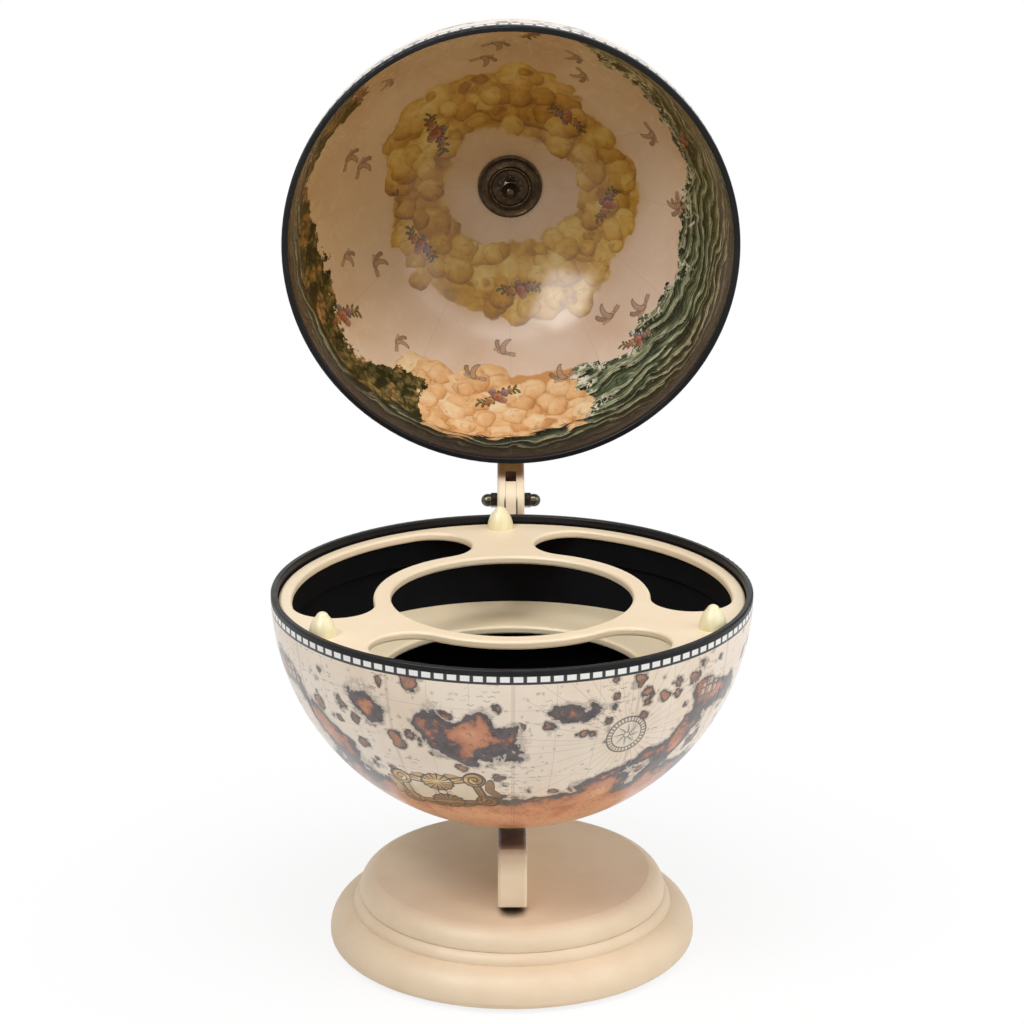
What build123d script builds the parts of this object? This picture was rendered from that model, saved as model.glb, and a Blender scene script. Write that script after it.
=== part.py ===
from build123d import *

import os
from math import asin, cos, degrees, radians, sin, sqrt, tan

# Tabletop globe bar. A globe is cut in half at its equator. The lower half is a bowl that holds
# two shelves for bottles and glasses, and the upper half is a lid that swings back on a fork
# hinge. A curved wooden arm is bolted to each half at its pole, and the lower arm's foot stands
# on a turned plinth. The lid is drawn open, resting on its stop.
#
# Millimetres. +Z is up and -Y is the front. The origin is the centre of the felt's underside.
# The bowl, the lid and the arms are drawn about the globe's centre and then lifted to its height.

# ---- Globe halves
GLOBE_RADIUS = 165.0  # outside of the printed sphere
SHELL_WALL = 4.5
RIM_RING_HEIGHT = 4.2  # the black ring that edges each half
RIM_ROUND = 1.2
RIM_GAP = 0.6  # between the two rings when the lid is shut

# ---- Arms
ARM_WIDTH = 20.0
ARM_DEPTH = 28.0  # at the hinge
HINGE_GAP = 15.0  # globe to arm at the hinge
POLE_GAP = 8.0  # globe to arm at the poles
ARM_ROUND = 2.5
FOOT_DROP = 1.5  # how far the foot reaches below the arm's outer edge
FOOT_FRONT = 74.0
FOOT_BACK = 66.0
FOOT_HEEL_ROUND = 6.0
TOE_RISE = 9.5  # how far the arm's inside edge climbs from the pole to the toe
TOE_LIFT = 3.5  # gap between the toe's tip and the plinth
TOE_RELIEF = 18.0  # how far back from the tip that gap runs
TAIL_LENGTH = 30.0  # the lid's arm ends this far past the pole
TAIL_RISE = 2.5
TAIL_ROUND = 9.0

# ---- Fork hinge
HINGE_RISE = 1.0  # pin above the equator
OPEN_ANGLE = 85.0
FORK_SLOT = 8.0
SLOT_DEPTH = 18.0
TONGUE_WIDTH = 7.6
STOP_GAP = 0.2  # between the open arm and the shoulder that stops it
PIN_RADIUS = 3.0
RUNNING_CLEARANCE = 0.05
PIN_THREAD = 8.0  # length that stands out of the fork for each nut

# ---- Cap nuts: M6 on the hinge pin, M8 on the pole bolts
SMALL_NUT_FLATS = 10.0
SMALL_NUT_HEX = 5.0  # height of the hexagon
SMALL_NUT_DOME = 4.75  # radius of the dome
SMALL_NUT_HEIGHT = 12.0
LARGE_NUT_FLATS = 13.0
LARGE_NUT_HEX = 6.5
LARGE_NUT_DOME = 6.2
LARGE_NUT_HEIGHT = 15.0
NUT_END_WALL = 2.5  # metal left at the end of the blind bore
NUT_CHAMFER = 30.0  # degrees

# ---- Pole bolts and what they clamp
BOLT_RADIUS = 4.0
BOLT_HOLE_RADIUS = 4.3
BOLT_HEAD_RADIUS = 8.0
BOLT_HEAD_HEIGHT = 4.2
BOLT_NECK = 4.0  # height of the square neck that keeps the bolt from turning
BOLT_THREAD = 10.0  # length inside the cap nut
BOLT_TIP_CHAMFER = 1.0
FOOT_COUNTERBORE = 7.0
LID_HEAD_SEAT = 0.8
HEAD_CLEARANCE = 0.3
NECK_CLEARANCE = 0.05
BUSH_RADIUS = 9.0
BUSH_SEAT = 0.8  # depth of the flat that the bush stands on
SEAT_CLEARANCE = 0.05
ROSETTE_RADIUS = 24.5
ROSETTE_RIM = 1.6
ROSETTE_FLAT = 1.8  # width of the rim's flat
BOSS_RADIUS = 16.3
BOSS_HEIGHT = 6.4
BOSS_BEAD = 2.6
BOSS_DISH = 1.2
LOCK_WASHER_RADIUS = 9.4
LOCK_WASHER_ROOT = 7.4
LOCK_WASHER_THICK = 1.0
LOCK_TEETH = 12
LOCK_TOOTH_WIDTH = 2.6

# ---- Shelves
SHELF_THICK = 6.0
SHELF_ROUND = 2.0
SHELF_EDGE_GAP = 0.45  # shelf edge to the bowl's wall
UPPER_SHELF_DROP = 6.0  # rim to the upper shelf's top
UPPER_HOLE_RADIUS = 83.0
INNER_RING_WIDTH = 12.0  # hole to kidneys
EDGE_RING_WIDTH = 10.0  # kidneys to the bowl's wall
SPOKE_WIDTH = 45.0
SPOKES = 3
SHELF_TURN = 3.0  # the shelf sits this many degrees round from the hinge
LOWER_SHELF_DROP = 62.0
LOWER_HOLE_RADIUS = 92.0
HOOP_WIDTH = 6.5  # from the bowl's wall inwards, at the equator
HOOP_HEIGHT = 18.0
CLEAT_ANGLE = 18.0  # degrees of the wall that each cleat takes
CLEAT_DEPTH = 14.0
CLEAT_HEIGHT = 14.0
GLUE_LINE = 0.1

# ---- Guide pegs that centre the closing lid
PEG_RADIUS = 9.2
PEG_HEIGHT = 16.4
PEG_TIP_RADIUS = 4.2
PEG_TIP_HEIGHT = 2.9
PEG_BULGE = 1.5
PEG_WALL_GAP = 1.6  # peg to the bowl's wall
PEG_SCREW_RADIUS = 1.9
PEG_SCREW_HEAD = 3.4
PEG_SCREW_HEAD_HEIGHT = 2.2
PEG_SCREW_BITE = 9.0

# ---- Plinth
FELT_THICK = 2.0
FELT_INNER = 72.0
FELT_OUTER = 118.0
PLINTH_HEIGHT = 48.5
PLINTH_TOP_RADIUS = 96.3
OVOLO_WIDTH = 10.8
OVOLO_DROP = 15.1
OVOLO_BULGE = 3.6
QUIRK = 0.5
BAND_WIDTH = 4.5
BAND_DROP = 8.2
BAND_BULGE = 1.3
PLINTH_RADIUS = 128.0
PLINTH_EDGE_ROUND = 5.0

# ---- Foot screws
FOOT_SCREW_SPREAD = 36.0  # each side of the bolt
FOOT_SCREW_RADIUS = 2.5
FOOT_SCREW_HEAD = 4.75
FOOT_SCREW_HEAD_HEIGHT = 3.0
FOOT_SCREW_RECESS = 20.0
FOOT_SCREW_BITE = 25.0
FOOT_SCREW_POINT = 6.0
SCREW_CLEARANCE = 0.05
RECESS_CLEARANCE = 0.75

# ---- Worked out from the sizes above
INSIDE_RADIUS = GLOBE_RADIUS - SHELL_WALL
RIM_TOP = RIM_GAP / 2
RIM_BOTTOM = RIM_TOP + RIM_RING_HEIGHT
KNUCKLE_RADIUS = ARM_DEPTH / 2
ARM_OUTER_RADIUS = GLOBE_RADIUS + HINGE_GAP + ARM_DEPTH
ARM_POLE_RADIUS = GLOBE_RADIUS + POLE_GAP
FOOT_REACH = ARM_OUTER_RADIUS + FOOT_DROP
PLINTH_TOP = FELT_THICK + PLINTH_HEIGHT
GLOBE_HEIGHT = PLINTH_TOP + FOOT_REACH
PIN_Y = sqrt((ARM_OUTER_RADIUS - KNUCKLE_RADIUS) ** 2 - HINGE_RISE**2)
SEAT_LEVEL = INSIDE_RADIUS - BOSS_HEIGHT + BOSS_DISH  # lock washer's seat, below the centre
NUT_SEAT_LEVEL = SEAT_LEVEL - LOCK_WASHER_THICK
BOLT_TIP_LEVEL = NUT_SEAT_LEVEL - BOLT_THREAD
SHELF_SPHERE = INSIDE_RADIUS - SHELF_EDGE_GAP
KIDNEY_INNER = UPPER_HOLE_RADIUS + INNER_RING_WIDTH
KIDNEY_OUTER = INSIDE_RADIUS - EDGE_RING_WIDTH
HOOP_INNER = INSIDE_RADIUS - HOOP_WIDTH
PEG_CIRCLE = INSIDE_RADIUS - PEG_WALL_GAP - PEG_RADIUS


# ---- Drawing helpers
def arc_about(centre, start, end):
    """The shorter arc from start to end about a centre."""
    middle = (start - centre) + (end - centre)
    return ThreePointArc(start, centre + middle.normalized() * (start - centre).length, end)


def bulged(start, end, bulge):
    """An arc that stands off its chord, to the left of the way it runs, by the bulge."""
    chord = end - start
    side = Vector(-chord.Y, chord.X).normalized()
    return ThreePointArc(start, (start + end) * 0.5 + side * bulge, end)


def cap_radius(half_width, height):
    """Radius of the sphere whose cap has this half width and height."""
    return (half_width**2 + height**2) / (2 * height)


def outline(*edges):
    """A face bounded by edges that run end to end."""
    return make_face(Curve() + list(edges))


def turned(section, angle=360):
    """A section drawn in (radius, height), turned about the vertical axis."""
    return revolve(Plane.XZ * section, Axis.Z, angle)


def sphere_section(sphere, low, high, bore=0.0):
    """The section inside a sphere, between two heights and outside a bore."""
    window = Pos(bore, low) * Rectangle(sphere - bore, high - low, align=(Align.MIN, Align.MIN))
    return Circle(sphere) & window


def rod(radius, low, high):
    """A vertical cylinder between two heights."""
    return Pos(0, 0, low) * Cylinder(radius, high - low, align=(Align.CENTER, Align.CENTER, Align.MIN))


def cross_rod(radius, length):
    """A cylinder along X, centred on the origin."""
    return Rot(0, 90, 0) * Cylinder(radius, length)


def spoke_angles(offset=0.0):
    """The shelf's spoke directions, in degrees round from +X."""
    return [90.0 + SHELF_TURN + offset + step * 360.0 / SPOKES for step in range(SPOKES)]


def at_globe(shape):
    """Lift a shape drawn about the globe's centre to its height above the floor."""
    return Pos(0, 0, GLOBE_HEIGHT) * shape


def at_lid(shape):
    """Turn a shape drawn for the bowl over into the shut lid, then swing it open on the pin."""
    shut = Rot(0, 180, 0) * shape
    return at_globe(Pos(0, PIN_Y, HINGE_RISE) * Rot(-OPEN_ANGLE, 0, 0) * Pos(0, -PIN_Y, -HINGE_RISE) * shut)


# ---- Globe halves, drawn as the bowl
def half_shell():
    """Pressed hemisphere with a bolt hole at its pole."""
    outside = sphere_section(GLOBE_RADIUS, -GLOBE_RADIUS - 1, -RIM_BOTTOM, BOLT_HOLE_RADIUS)
    return turned(outside - Circle(INSIDE_RADIUS))


def rim_ring():
    """Edging ring with a rounded lip, glued on the shell's mouth."""
    section = sphere_section(GLOBE_RADIUS, -RIM_BOTTOM, -RIM_TOP) - Circle(INSIDE_RADIUS)
    return turned(fillet(section.vertices().group_by(Axis.Y)[-1], RIM_ROUND))


# ---- Arms, drawn hanging from the pin to the south pole
def arm_blank(rise, front, front_rise, outer_end, corners):
    """Sawn arm: an arc inside and outside, both tangent to the round knuckle about the pin.

    The inside arc clears the globe by POLE_GAP at the pole and by about HINGE_GAP at the knuckle.
    Past the pole it runs on as an arc of its own, which climbs by front_rise to the arm's front.
    """
    half_depth = (ARM_OUTER_RADIUS - KNUCKLE_RADIUS) ** 2 - (ARM_POLE_RADIUS + KNUCKLE_RADIUS) ** 2
    shift = half_depth / (2 * (ARM_POLE_RADIUS + KNUCKLE_RADIUS + rise))
    inner_radius = ARM_POLE_RADIUS + shift
    globe_centre, inner_centre, pin = Vector(0, 0), Vector(0, shift), Vector(PIN_Y, rise)
    inner_touch = inner_centre + (pin - inner_centre).normalized() * inner_radius
    outer_touch = pin.normalized() * ARM_OUTER_RADIUS
    pole, inner_end = Vector(0, -ARM_POLE_RADIUS), Vector(-front, front_rise - ARM_POLE_RADIUS)
    front_centre = pole + Vector(0, (front**2 + front_rise**2) / (2 * front_rise))
    outer_stop = Vector(outer_end, -sqrt(ARM_OUTER_RADIUS**2 - outer_end**2))
    face = outline(
        arc_about(front_centre, inner_end, pole),
        arc_about(inner_centre, pole, inner_touch),
        ThreePointArc(inner_touch, pin + Vector(0, KNUCKLE_RADIUS), outer_touch),
        arc_about(globe_centre, outer_touch, outer_stop),
        Polyline(outer_stop, *corners, inner_end),
    )
    return extrude(Plane.YZ * face, ARM_WIDTH / 2, both=True)


def eased(blank, lowest):
    """Round the blank's long edges that lie above a height."""
    sides = blank.faces().sort_by(Axis.X)
    edges = ShapeList(sides[0].edges() + sides[-1].edges())
    return fillet(edges.filter_by(lambda edge: edge.center().Z > lowest), ARM_ROUND)


def bolt_passage(seat):
    """What a pole bolt, its square neck, its head and the bush take out of an arm."""
    neck = BOLT_RADIUS * 2 + NECK_CLEARANCE * 2
    below = (Align.CENTER, Align.CENTER, Align.MIN)
    return (
        rod(BOLT_HOLE_RADIUS, -FOOT_REACH - 1, -ARM_POLE_RADIUS + 1)
        + rod(BOLT_HEAD_RADIUS + HEAD_CLEARANCE, -FOOT_REACH - 1, seat)
        + Pos(0, 0, seat) * Box(neck, neck, BOLT_NECK, align=below)
        + rod(BUSH_RADIUS + HEAD_CLEARANCE, -ARM_POLE_RADIUS - BUSH_SEAT, -ARM_POLE_RADIUS + POLE_GAP / 2)
    )


def pin_bore(rise):
    """The hinge pin's hole through an arm."""
    return Pos(0, PIN_Y, rise) * cross_rod(PIN_RADIUS + RUNNING_CLEARANCE, ARM_WIDTH * 2)


def stand_arm():
    """Lower arm: a flat foot with a lifted toe, a tongue for the fork, and a shoulder that stops the open lid.

    The shoulder is hollowed to the outside radius of the lid's arm where that arm lies when open.
    """
    heel_corner, toe_tip = Vector(FOOT_BACK, -FOOT_REACH), Vector(-FOOT_FRONT, TOE_LIFT - FOOT_REACH)
    foot_corners = [heel_corner, Vector(TOE_RELIEF - FOOT_FRONT, -FOOT_REACH), toe_tip]
    blank = arm_blank(HINGE_RISE, FOOT_FRONT, TOE_RISE, FOOT_BACK, foot_corners)
    heel = blank.edges().filter_by(Axis.X).filter_by_position(Axis.Y, FOOT_BACK - 1, FOOT_BACK + 1)
    blank = fillet(heel.sort_by(Axis.Z)[-1], FOOT_HEEL_ROUND)
    blank = eased(blank, TOE_LIFT - FOOT_REACH)
    swing = radians(OPEN_ANGLE)
    open_y = PIN_Y - PIN_Y * cos(swing) - HINGE_RISE * sin(swing)
    open_z = HINGE_RISE + PIN_Y * sin(swing) - HINGE_RISE * cos(swing)
    open_arm = Pos(0, open_y, open_z) * cross_rod(ARM_OUTER_RADIUS + STOP_GAP, ARM_WIDTH * 2)
    tongue = Pos(0, PIN_Y, HINGE_RISE) * Box(TONGUE_WIDTH, ARM_DEPTH * 2, ARM_DEPTH * 2)
    arm = blank - (open_arm - tongue) - pin_bore(HINGE_RISE) - bolt_passage(FOOT_COUNTERBORE - FOOT_REACH)
    for side in (-1, 1):
        pilot = rod(FOOT_SCREW_RADIUS + SCREW_CLEARANCE, -FOOT_REACH - 1, FOOT_SCREW_BITE + 1 - FOOT_REACH)
        arm -= Pos(0, side * FOOT_SCREW_SPREAD, 0) * pilot
    return arm


def lid_arm():
    """Upper arm: a fork over the tongue and a rounded tail past the lid's pole."""
    blank = arm_blank(-HINGE_RISE, TAIL_LENGTH, TAIL_RISE, -TAIL_LENGTH, [])
    tail = blank.edges().filter_by(Axis.X).filter_by_position(Axis.Y, -TAIL_LENGTH - 1, 1 - TAIL_LENGTH)
    blank = eased(fillet(tail, TAIL_ROUND), -ARM_OUTER_RADIUS * 2)
    slot_height = SLOT_DEPTH + ARM_DEPTH
    slot = Box(FORK_SLOT, ARM_DEPTH * 2, slot_height, align=(Align.CENTER, Align.CENTER, Align.MIN))
    slot = Pos(0, PIN_Y, -HINGE_RISE - SLOT_DEPTH) * slot
    return blank - slot - pin_bore(-HINGE_RISE) - bolt_passage(LID_HEAD_SEAT - ARM_OUTER_RADIUS)


# ---- Hardware
def cap_nut(flats, hex_height, dome_radius, height, bore_radius):
    """Domed nut standing on the origin: a chamfered hexagon, a round dome and a blind bore."""
    corner = flats / sqrt(3)
    slope = tan(radians(NUT_CHAMFER))
    lower = (corner - flats / 2) * slope
    upper = hex_height - (corner - dome_radius) * slope
    collar, dome_start = Vector(dome_radius, hex_height), Vector(dome_radius, height - dome_radius)
    body = outline(
        Polyline((0, height), (0, 0), (flats / 2, 0), (corner, lower), (corner, upper), collar),
        Line(collar, dome_start),
        arc_about(Vector(0, height - dome_radius), dome_start, Vector(0, height)),
    )
    prism = extrude(RegularPolygon(flats / 2, 6, major_radius=False), height)
    return (turned(body) & prism) - rod(bore_radius, -1, height - NUT_END_WALL)


def hinge_pin():
    """Stud through fork and tongue, threaded at both ends."""
    pin = cross_rod(PIN_RADIUS, ARM_WIDTH + PIN_THREAD * 2)
    return at_globe(Pos(0, PIN_Y, HINGE_RISE) * pin)


def hinge_nut(side):
    """Cap nut on one end of the hinge pin."""
    nut = cap_nut(
        SMALL_NUT_FLATS, SMALL_NUT_HEX, SMALL_NUT_DOME, SMALL_NUT_HEIGHT, PIN_RADIUS + RUNNING_CLEARANCE
    )
    return at_globe(Pos(side * ARM_WIDTH / 2, PIN_Y, HINGE_RISE) * Rot(0, side * 90, 0) * nut)


def pole_bolt(seat):
    """Carriage bolt: domed head, square neck, and a shank up to inside the cap nut."""
    edge, crown = Vector(BOLT_HEAD_RADIUS, seat), Vector(0, seat - BOLT_HEAD_HEIGHT)
    dome_centre = Vector(0, crown.Y + cap_radius(BOLT_HEAD_RADIUS, BOLT_HEAD_HEIGHT))
    head = outline(Polyline(crown, (0, seat), edge), arc_about(dome_centre, edge, crown))
    neck = Box(BOLT_RADIUS * 2, BOLT_RADIUS * 2, BOLT_NECK, align=(Align.CENTER, Align.CENTER, Align.MIN))
    shank = rod(BOLT_RADIUS, seat, -BOLT_TIP_LEVEL)
    shank = chamfer(shank.edges().sort_by(Axis.Z)[-1], BOLT_TIP_CHAMFER)
    return turned(head) + Pos(0, 0, seat) * neck + shank


def pole_bush():
    """Spacer between an arm and the globe: flat below, hollowed to the sphere above."""
    blank = rod(BUSH_RADIUS, -ARM_POLE_RADIUS - BUSH_SEAT, -GLOBE_RADIUS + POLE_GAP / 2)
    return blank - Sphere(GLOBE_RADIUS + SEAT_CLEARANCE) - rod(BOLT_HOLE_RADIUS, -ARM_OUTER_RADIUS, 0)


def rosette():
    """Turned plate inside a pole: a flat rim, a cove, and a beaded boss with a dished seat."""
    sphere = INSIDE_RADIUS - SEAT_CLEARANCE

    def on_sphere(radius):
        return -sqrt(sphere**2 - radius**2)

    rim_level = on_sphere(ROSETTE_RADIUS) + ROSETTE_RIM
    boss_top = BOSS_HEIGHT - INSIDE_RADIUS
    cove_start = Vector(ROSETTE_RADIUS - ROSETTE_FLAT, rim_level)
    cove_end = Vector(BOSS_RADIUS, rim_level)
    bead_outer, bead_inner = Vector(BOSS_RADIUS, boss_top), Vector(BOSS_RADIUS - BOSS_BEAD, boss_top)
    section = outline(
        arc_about(
            Vector(0, 0),
            Vector(BOLT_HOLE_RADIUS, on_sphere(BOLT_HOLE_RADIUS)),
            Vector(ROSETTE_RADIUS, on_sphere(ROSETTE_RADIUS)),
        ),
        Polyline((ROSETTE_RADIUS, on_sphere(ROSETTE_RADIUS)), (ROSETTE_RADIUS, rim_level), cove_start),
        bulged(cove_start, cove_end, ROSETTE_RIM / 2),
        Line(cove_end, bead_outer),
        bulged(bead_outer, bead_inner, -BOSS_BEAD / 4),
        Polyline(
            bead_inner,
            (BOSS_RADIUS - BOSS_BEAD, -SEAT_LEVEL),
            (BOLT_HOLE_RADIUS, -SEAT_LEVEL),
            (BOLT_HOLE_RADIUS, on_sphere(BOLT_HOLE_RADIUS)),
        ),
    )
    return turned(section)


def lock_washer():
    """Washer with teeth round its outside, between the rosette and the cap nut."""
    ring = Circle(LOCK_WASHER_ROOT)
    tooth_length = LOCK_WASHER_RADIUS - LOCK_WASHER_ROOT
    tooth = Pos(LOCK_WASHER_ROOT, 0) * Polygon(
        (-1, -LOCK_TOOTH_WIDTH / 2),
        (tooth_length, -LOCK_TOOTH_WIDTH / 5),
        (tooth_length, LOCK_TOOTH_WIDTH / 5),
        (-1, LOCK_TOOTH_WIDTH / 2),
        align=None,
    )
    for step in range(LOCK_TEETH):
        ring += Rot(0, 0, step * 360.0 / LOCK_TEETH) * tooth
    return extrude(Pos(0, 0, -SEAT_LEVEL) * (ring - Circle(BOLT_HOLE_RADIUS)), LOCK_WASHER_THICK)


def pole_nut():
    """Cap nut that clamps rosette, shell and bush to the arm."""
    nut = cap_nut(
        LARGE_NUT_FLATS, LARGE_NUT_HEX, LARGE_NUT_DOME, LARGE_NUT_HEIGHT, BOLT_RADIUS + SCREW_CLEARANCE
    )
    return Pos(0, 0, -NUT_SEAT_LEVEL) * nut


# ---- Shelves
def upper_shelf():
    """Plywood shelf with a round hole, three kidney holes and a screw hole on each spoke."""
    disc = turned(sphere_section(SHELF_SPHERE, -UPPER_SHELF_DROP - SHELF_THICK, -UPPER_SHELF_DROP))
    middle = (KIDNEY_INNER + KIDNEY_OUTER) / 2
    half_width = (KIDNEY_OUTER - KIDNEY_INNER) / 2
    inset = degrees(asin((SPOKE_WIDTH / 2 + half_width) / middle))
    openings = Circle(UPPER_HOLE_RADIUS)
    for angle in spoke_angles():
        openings += kidney(angle + inset, angle + 360 / SPOKES - inset, half_width)
    cutter = extrude(openings, SHELF_THICK * 4, both=True)
    shelf = disc - Pos(0, 0, -UPPER_SHELF_DROP) * cutter
    faces = shelf.faces().filter_by(GeomType.PLANE).sort_by(Axis.Z)
    shelf = fillet(ShapeList(faces[0].edges() + faces[-1].edges()), SHELF_ROUND)
    for place in peg_places():
        shelf -= place * rod(PEG_SCREW_RADIUS + HEAD_CLEARANCE, -SHELF_THICK - 1, 1)
    return shelf


def kidney(first, last, half_width):
    """Curved slot with round ends between two directions, in degrees."""
    middle = KIDNEY_INNER + half_width
    start_centre = Vector(middle, 0).rotate(Axis.Z, first)
    end_centre = Vector(middle, 0).rotate(Axis.Z, last)
    return outline(
        CenterArc((0, 0), KIDNEY_OUTER, first, last - first),
        CenterArc(end_centre, half_width, last, 180),
        CenterArc((0, 0), KIDNEY_INNER, first, last - first),
        CenterArc(start_centre, half_width, first + 180, 180),
    )


def lower_shelf():
    """Plain ring whose edge follows the bowl's wall."""
    low = -LOWER_SHELF_DROP - SHELF_THICK
    ring = turned(sphere_section(SHELF_SPHERE, low, -LOWER_SHELF_DROP, LOWER_HOLE_RADIUS))
    hole_edges = ring.edges().filter_by(GeomType.CIRCLE).group_by(lambda edge: edge.radius)[0]
    return fillet(hole_edges, SHELF_ROUND)


def shelf_hoop():
    """Ring glued inside the bowl's mouth, which the upper shelf lies on."""
    top = -UPPER_SHELF_DROP - SHELF_THICK
    return turned(sphere_section(INSIDE_RADIUS - GLUE_LINE, top - HOOP_HEIGHT, top, HOOP_INNER))


def shelf_cleat(angle):
    """Short curved block glued to the wall under the lower shelf."""
    top = -LOWER_SHELF_DROP - SHELF_THICK
    inner = sqrt(SHELF_SPHERE**2 - top**2) - CLEAT_DEPTH
    section = sphere_section(INSIDE_RADIUS - GLUE_LINE, top - CLEAT_HEIGHT, top, inner)
    return Rot(0, 0, angle - CLEAT_ANGLE / 2) * turned(section, CLEAT_ANGLE)


# ---- Guide pegs
def peg_places():
    """Places on the upper shelf's top for the pegs, one on each spoke."""
    spots = [Vector(PEG_CIRCLE, 0).rotate(Axis.Z, angle) for angle in spoke_angles()]
    return [Pos(spot.X, spot.Y, -UPPER_SHELF_DROP) for spot in spots]


def guide_peg():
    """Bullet-shaped peg with a blind screw hole."""
    foot, shoulder, tip = (
        Vector(PEG_RADIUS, 0),
        Vector(PEG_TIP_RADIUS, PEG_HEIGHT - PEG_TIP_HEIGHT),
        Vector(0, PEG_HEIGHT),
    )
    tip_centre = Vector(0, PEG_HEIGHT - cap_radius(PEG_TIP_RADIUS, PEG_TIP_HEIGHT))
    section = outline(
        Polyline(tip, (0, 0), foot),
        bulged(foot, shoulder, -PEG_BULGE),
        arc_about(tip_centre, shoulder, tip),
    )
    return turned(section) - rod(PEG_SCREW_RADIUS + SCREW_CLEARANCE, -1, PEG_SCREW_BITE + 1)


def peg_screw():
    """Pan-head screw driven up through the shelf into a peg."""
    head = rod(PEG_SCREW_HEAD, -SHELF_THICK - PEG_SCREW_HEAD_HEIGHT, -SHELF_THICK)
    head = fillet(head.edges().sort_by(Axis.Z)[0], PEG_SCREW_HEAD_HEIGHT / 2)
    return head + rod(PEG_SCREW_RADIUS, -SHELF_THICK, PEG_SCREW_BITE)


# ---- Plinth, drawn from the floor up
def plinth():
    """Turned base: flat top, ovolo, quirk, small rounded band, and a wide rounded foot."""
    ovolo_foot = Vector(PLINTH_TOP_RADIUS + OVOLO_WIDTH, PLINTH_TOP - OVOLO_DROP)
    quirk_top = ovolo_foot - Vector(QUIRK, 0)
    quirk_foot = quirk_top - Vector(0, QUIRK)
    band_top = ovolo_foot - Vector(0, QUIRK)
    band_foot = ovolo_foot + Vector(BAND_WIDTH, -BAND_DROP)
    widest = Vector(PLINTH_RADIUS, FELT_THICK + PLINTH_EDGE_ROUND)
    edge_centre = widest - Vector(PLINTH_EDGE_ROUND, 0)
    edge_foot = edge_centre - Vector(0, PLINTH_EDGE_ROUND)
    shoulder_centre = Vector(band_foot.X, widest.Y)
    shoulder_middle = shoulder_centre + Vector(
        (widest.X - band_foot.X) * cos(radians(45)), (band_foot.Y - widest.Y) * sin(radians(45))
    )
    section = outline(
        Line((0, FELT_THICK), (0, PLINTH_TOP)),
        Line((0, PLINTH_TOP), (PLINTH_TOP_RADIUS, PLINTH_TOP)),
        bulged(Vector(PLINTH_TOP_RADIUS, PLINTH_TOP), ovolo_foot, OVOLO_BULGE),
        Polyline(ovolo_foot, quirk_top, quirk_foot, band_top),
        bulged(band_top, band_foot, BAND_BULGE),
        ThreePointArc(band_foot, shoulder_middle, widest),
        arc_about(edge_centre, widest, edge_foot),
        Line(edge_foot, (0, FELT_THICK)),
    )
    base = turned(section)
    seat = FELT_THICK + FOOT_SCREW_RECESS
    for side in (-1, 1):
        place = Pos(0, side * FOOT_SCREW_SPREAD, 0)
        base -= place * rod(FOOT_SCREW_RADIUS + SCREW_CLEARANCE, 0, PLINTH_TOP + 1)
        base -= place * rod(FOOT_SCREW_HEAD + RECESS_CLEARANCE, 0, seat)
    return base


def felt_ring():
    """Felt glued under the plinth's edge."""
    return rod(FELT_OUTER, 0, FELT_THICK) - rod(FELT_INNER, -1, FELT_THICK + 1)


def foot_screw(side):
    """Wood screw from the plinth's recess up into the arm's foot."""
    seat = FELT_THICK + FOOT_SCREW_RECESS
    top = PLINTH_TOP + FOOT_SCREW_BITE
    section = outline(
        Polyline(
            (0, top),
            (0, seat - FOOT_SCREW_HEAD_HEIGHT),
            (FOOT_SCREW_HEAD, seat - FOOT_SCREW_HEAD_HEIGHT),
            (FOOT_SCREW_HEAD, seat),
            (FOOT_SCREW_RADIUS, seat),
            (FOOT_SCREW_RADIUS, top - FOOT_SCREW_POINT),
            (0, top),
        )
    )
    return Pos(0, side * FOOT_SCREW_SPREAD, 0) * turned(section)


# ---- The whole bar
def build_nodes():
    """Every sub-part by node name, in place, with the lid open."""
    nodes = {
        "felt_ring": felt_ring(),
        "plinth": plinth(),
        "foot_screws": Compound(children=[foot_screw(-1), foot_screw(1)]),
        "stand_arm": at_globe(stand_arm()),
        "bowl_shell": at_globe(half_shell()),
        "bowl_rim_ring": at_globe(rim_ring()),
        "bowl_bush": at_globe(pole_bush()),
        "bowl_bolt": at_globe(pole_bolt(FOOT_COUNTERBORE - FOOT_REACH)),
        "bowl_rosette": at_globe(rosette()),
        "bowl_lock_washer": at_globe(lock_washer()),
        "bowl_cap_nut": at_globe(pole_nut()),
        "shelf_hoop": at_globe(shelf_hoop()),
        "upper_shelf": at_globe(upper_shelf()),
        "lower_shelf": at_globe(lower_shelf()),
        "peg_screws": at_globe(Compound(children=[place * peg_screw() for place in peg_places()])),
        "lid_arm": at_lid(lid_arm()),
        "lid_shell": at_lid(half_shell()),
        "lid_rim_ring": at_lid(rim_ring()),
        "lid_bush": at_lid(pole_bush()),
        "lid_bolt": at_lid(pole_bolt(LID_HEAD_SEAT - ARM_OUTER_RADIUS)),
        "lid_rosette": at_lid(rosette()),
        "lid_lock_washer": at_lid(lock_washer()),
        "lid_cap_nut": at_lid(pole_nut()),
        "hinge_pin": hinge_pin(),
        "hinge_nut_left": hinge_nut(-1),
        "hinge_nut_right": hinge_nut(1),
    }
    for number, place in enumerate(peg_places(), 1):
        nodes[f"guide_peg_{number}"] = at_globe(place * guide_peg())
    for number, angle in enumerate(spoke_angles(180 / SPOKES), 1):
        nodes[f"shelf_cleat_{number}"] = at_globe(shelf_cleat(angle))
    return nodes


os.makedirs("parts", exist_ok=True)
for name, shape in build_nodes().items():
    export_step(shape, f"parts/{name}.step")
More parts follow.
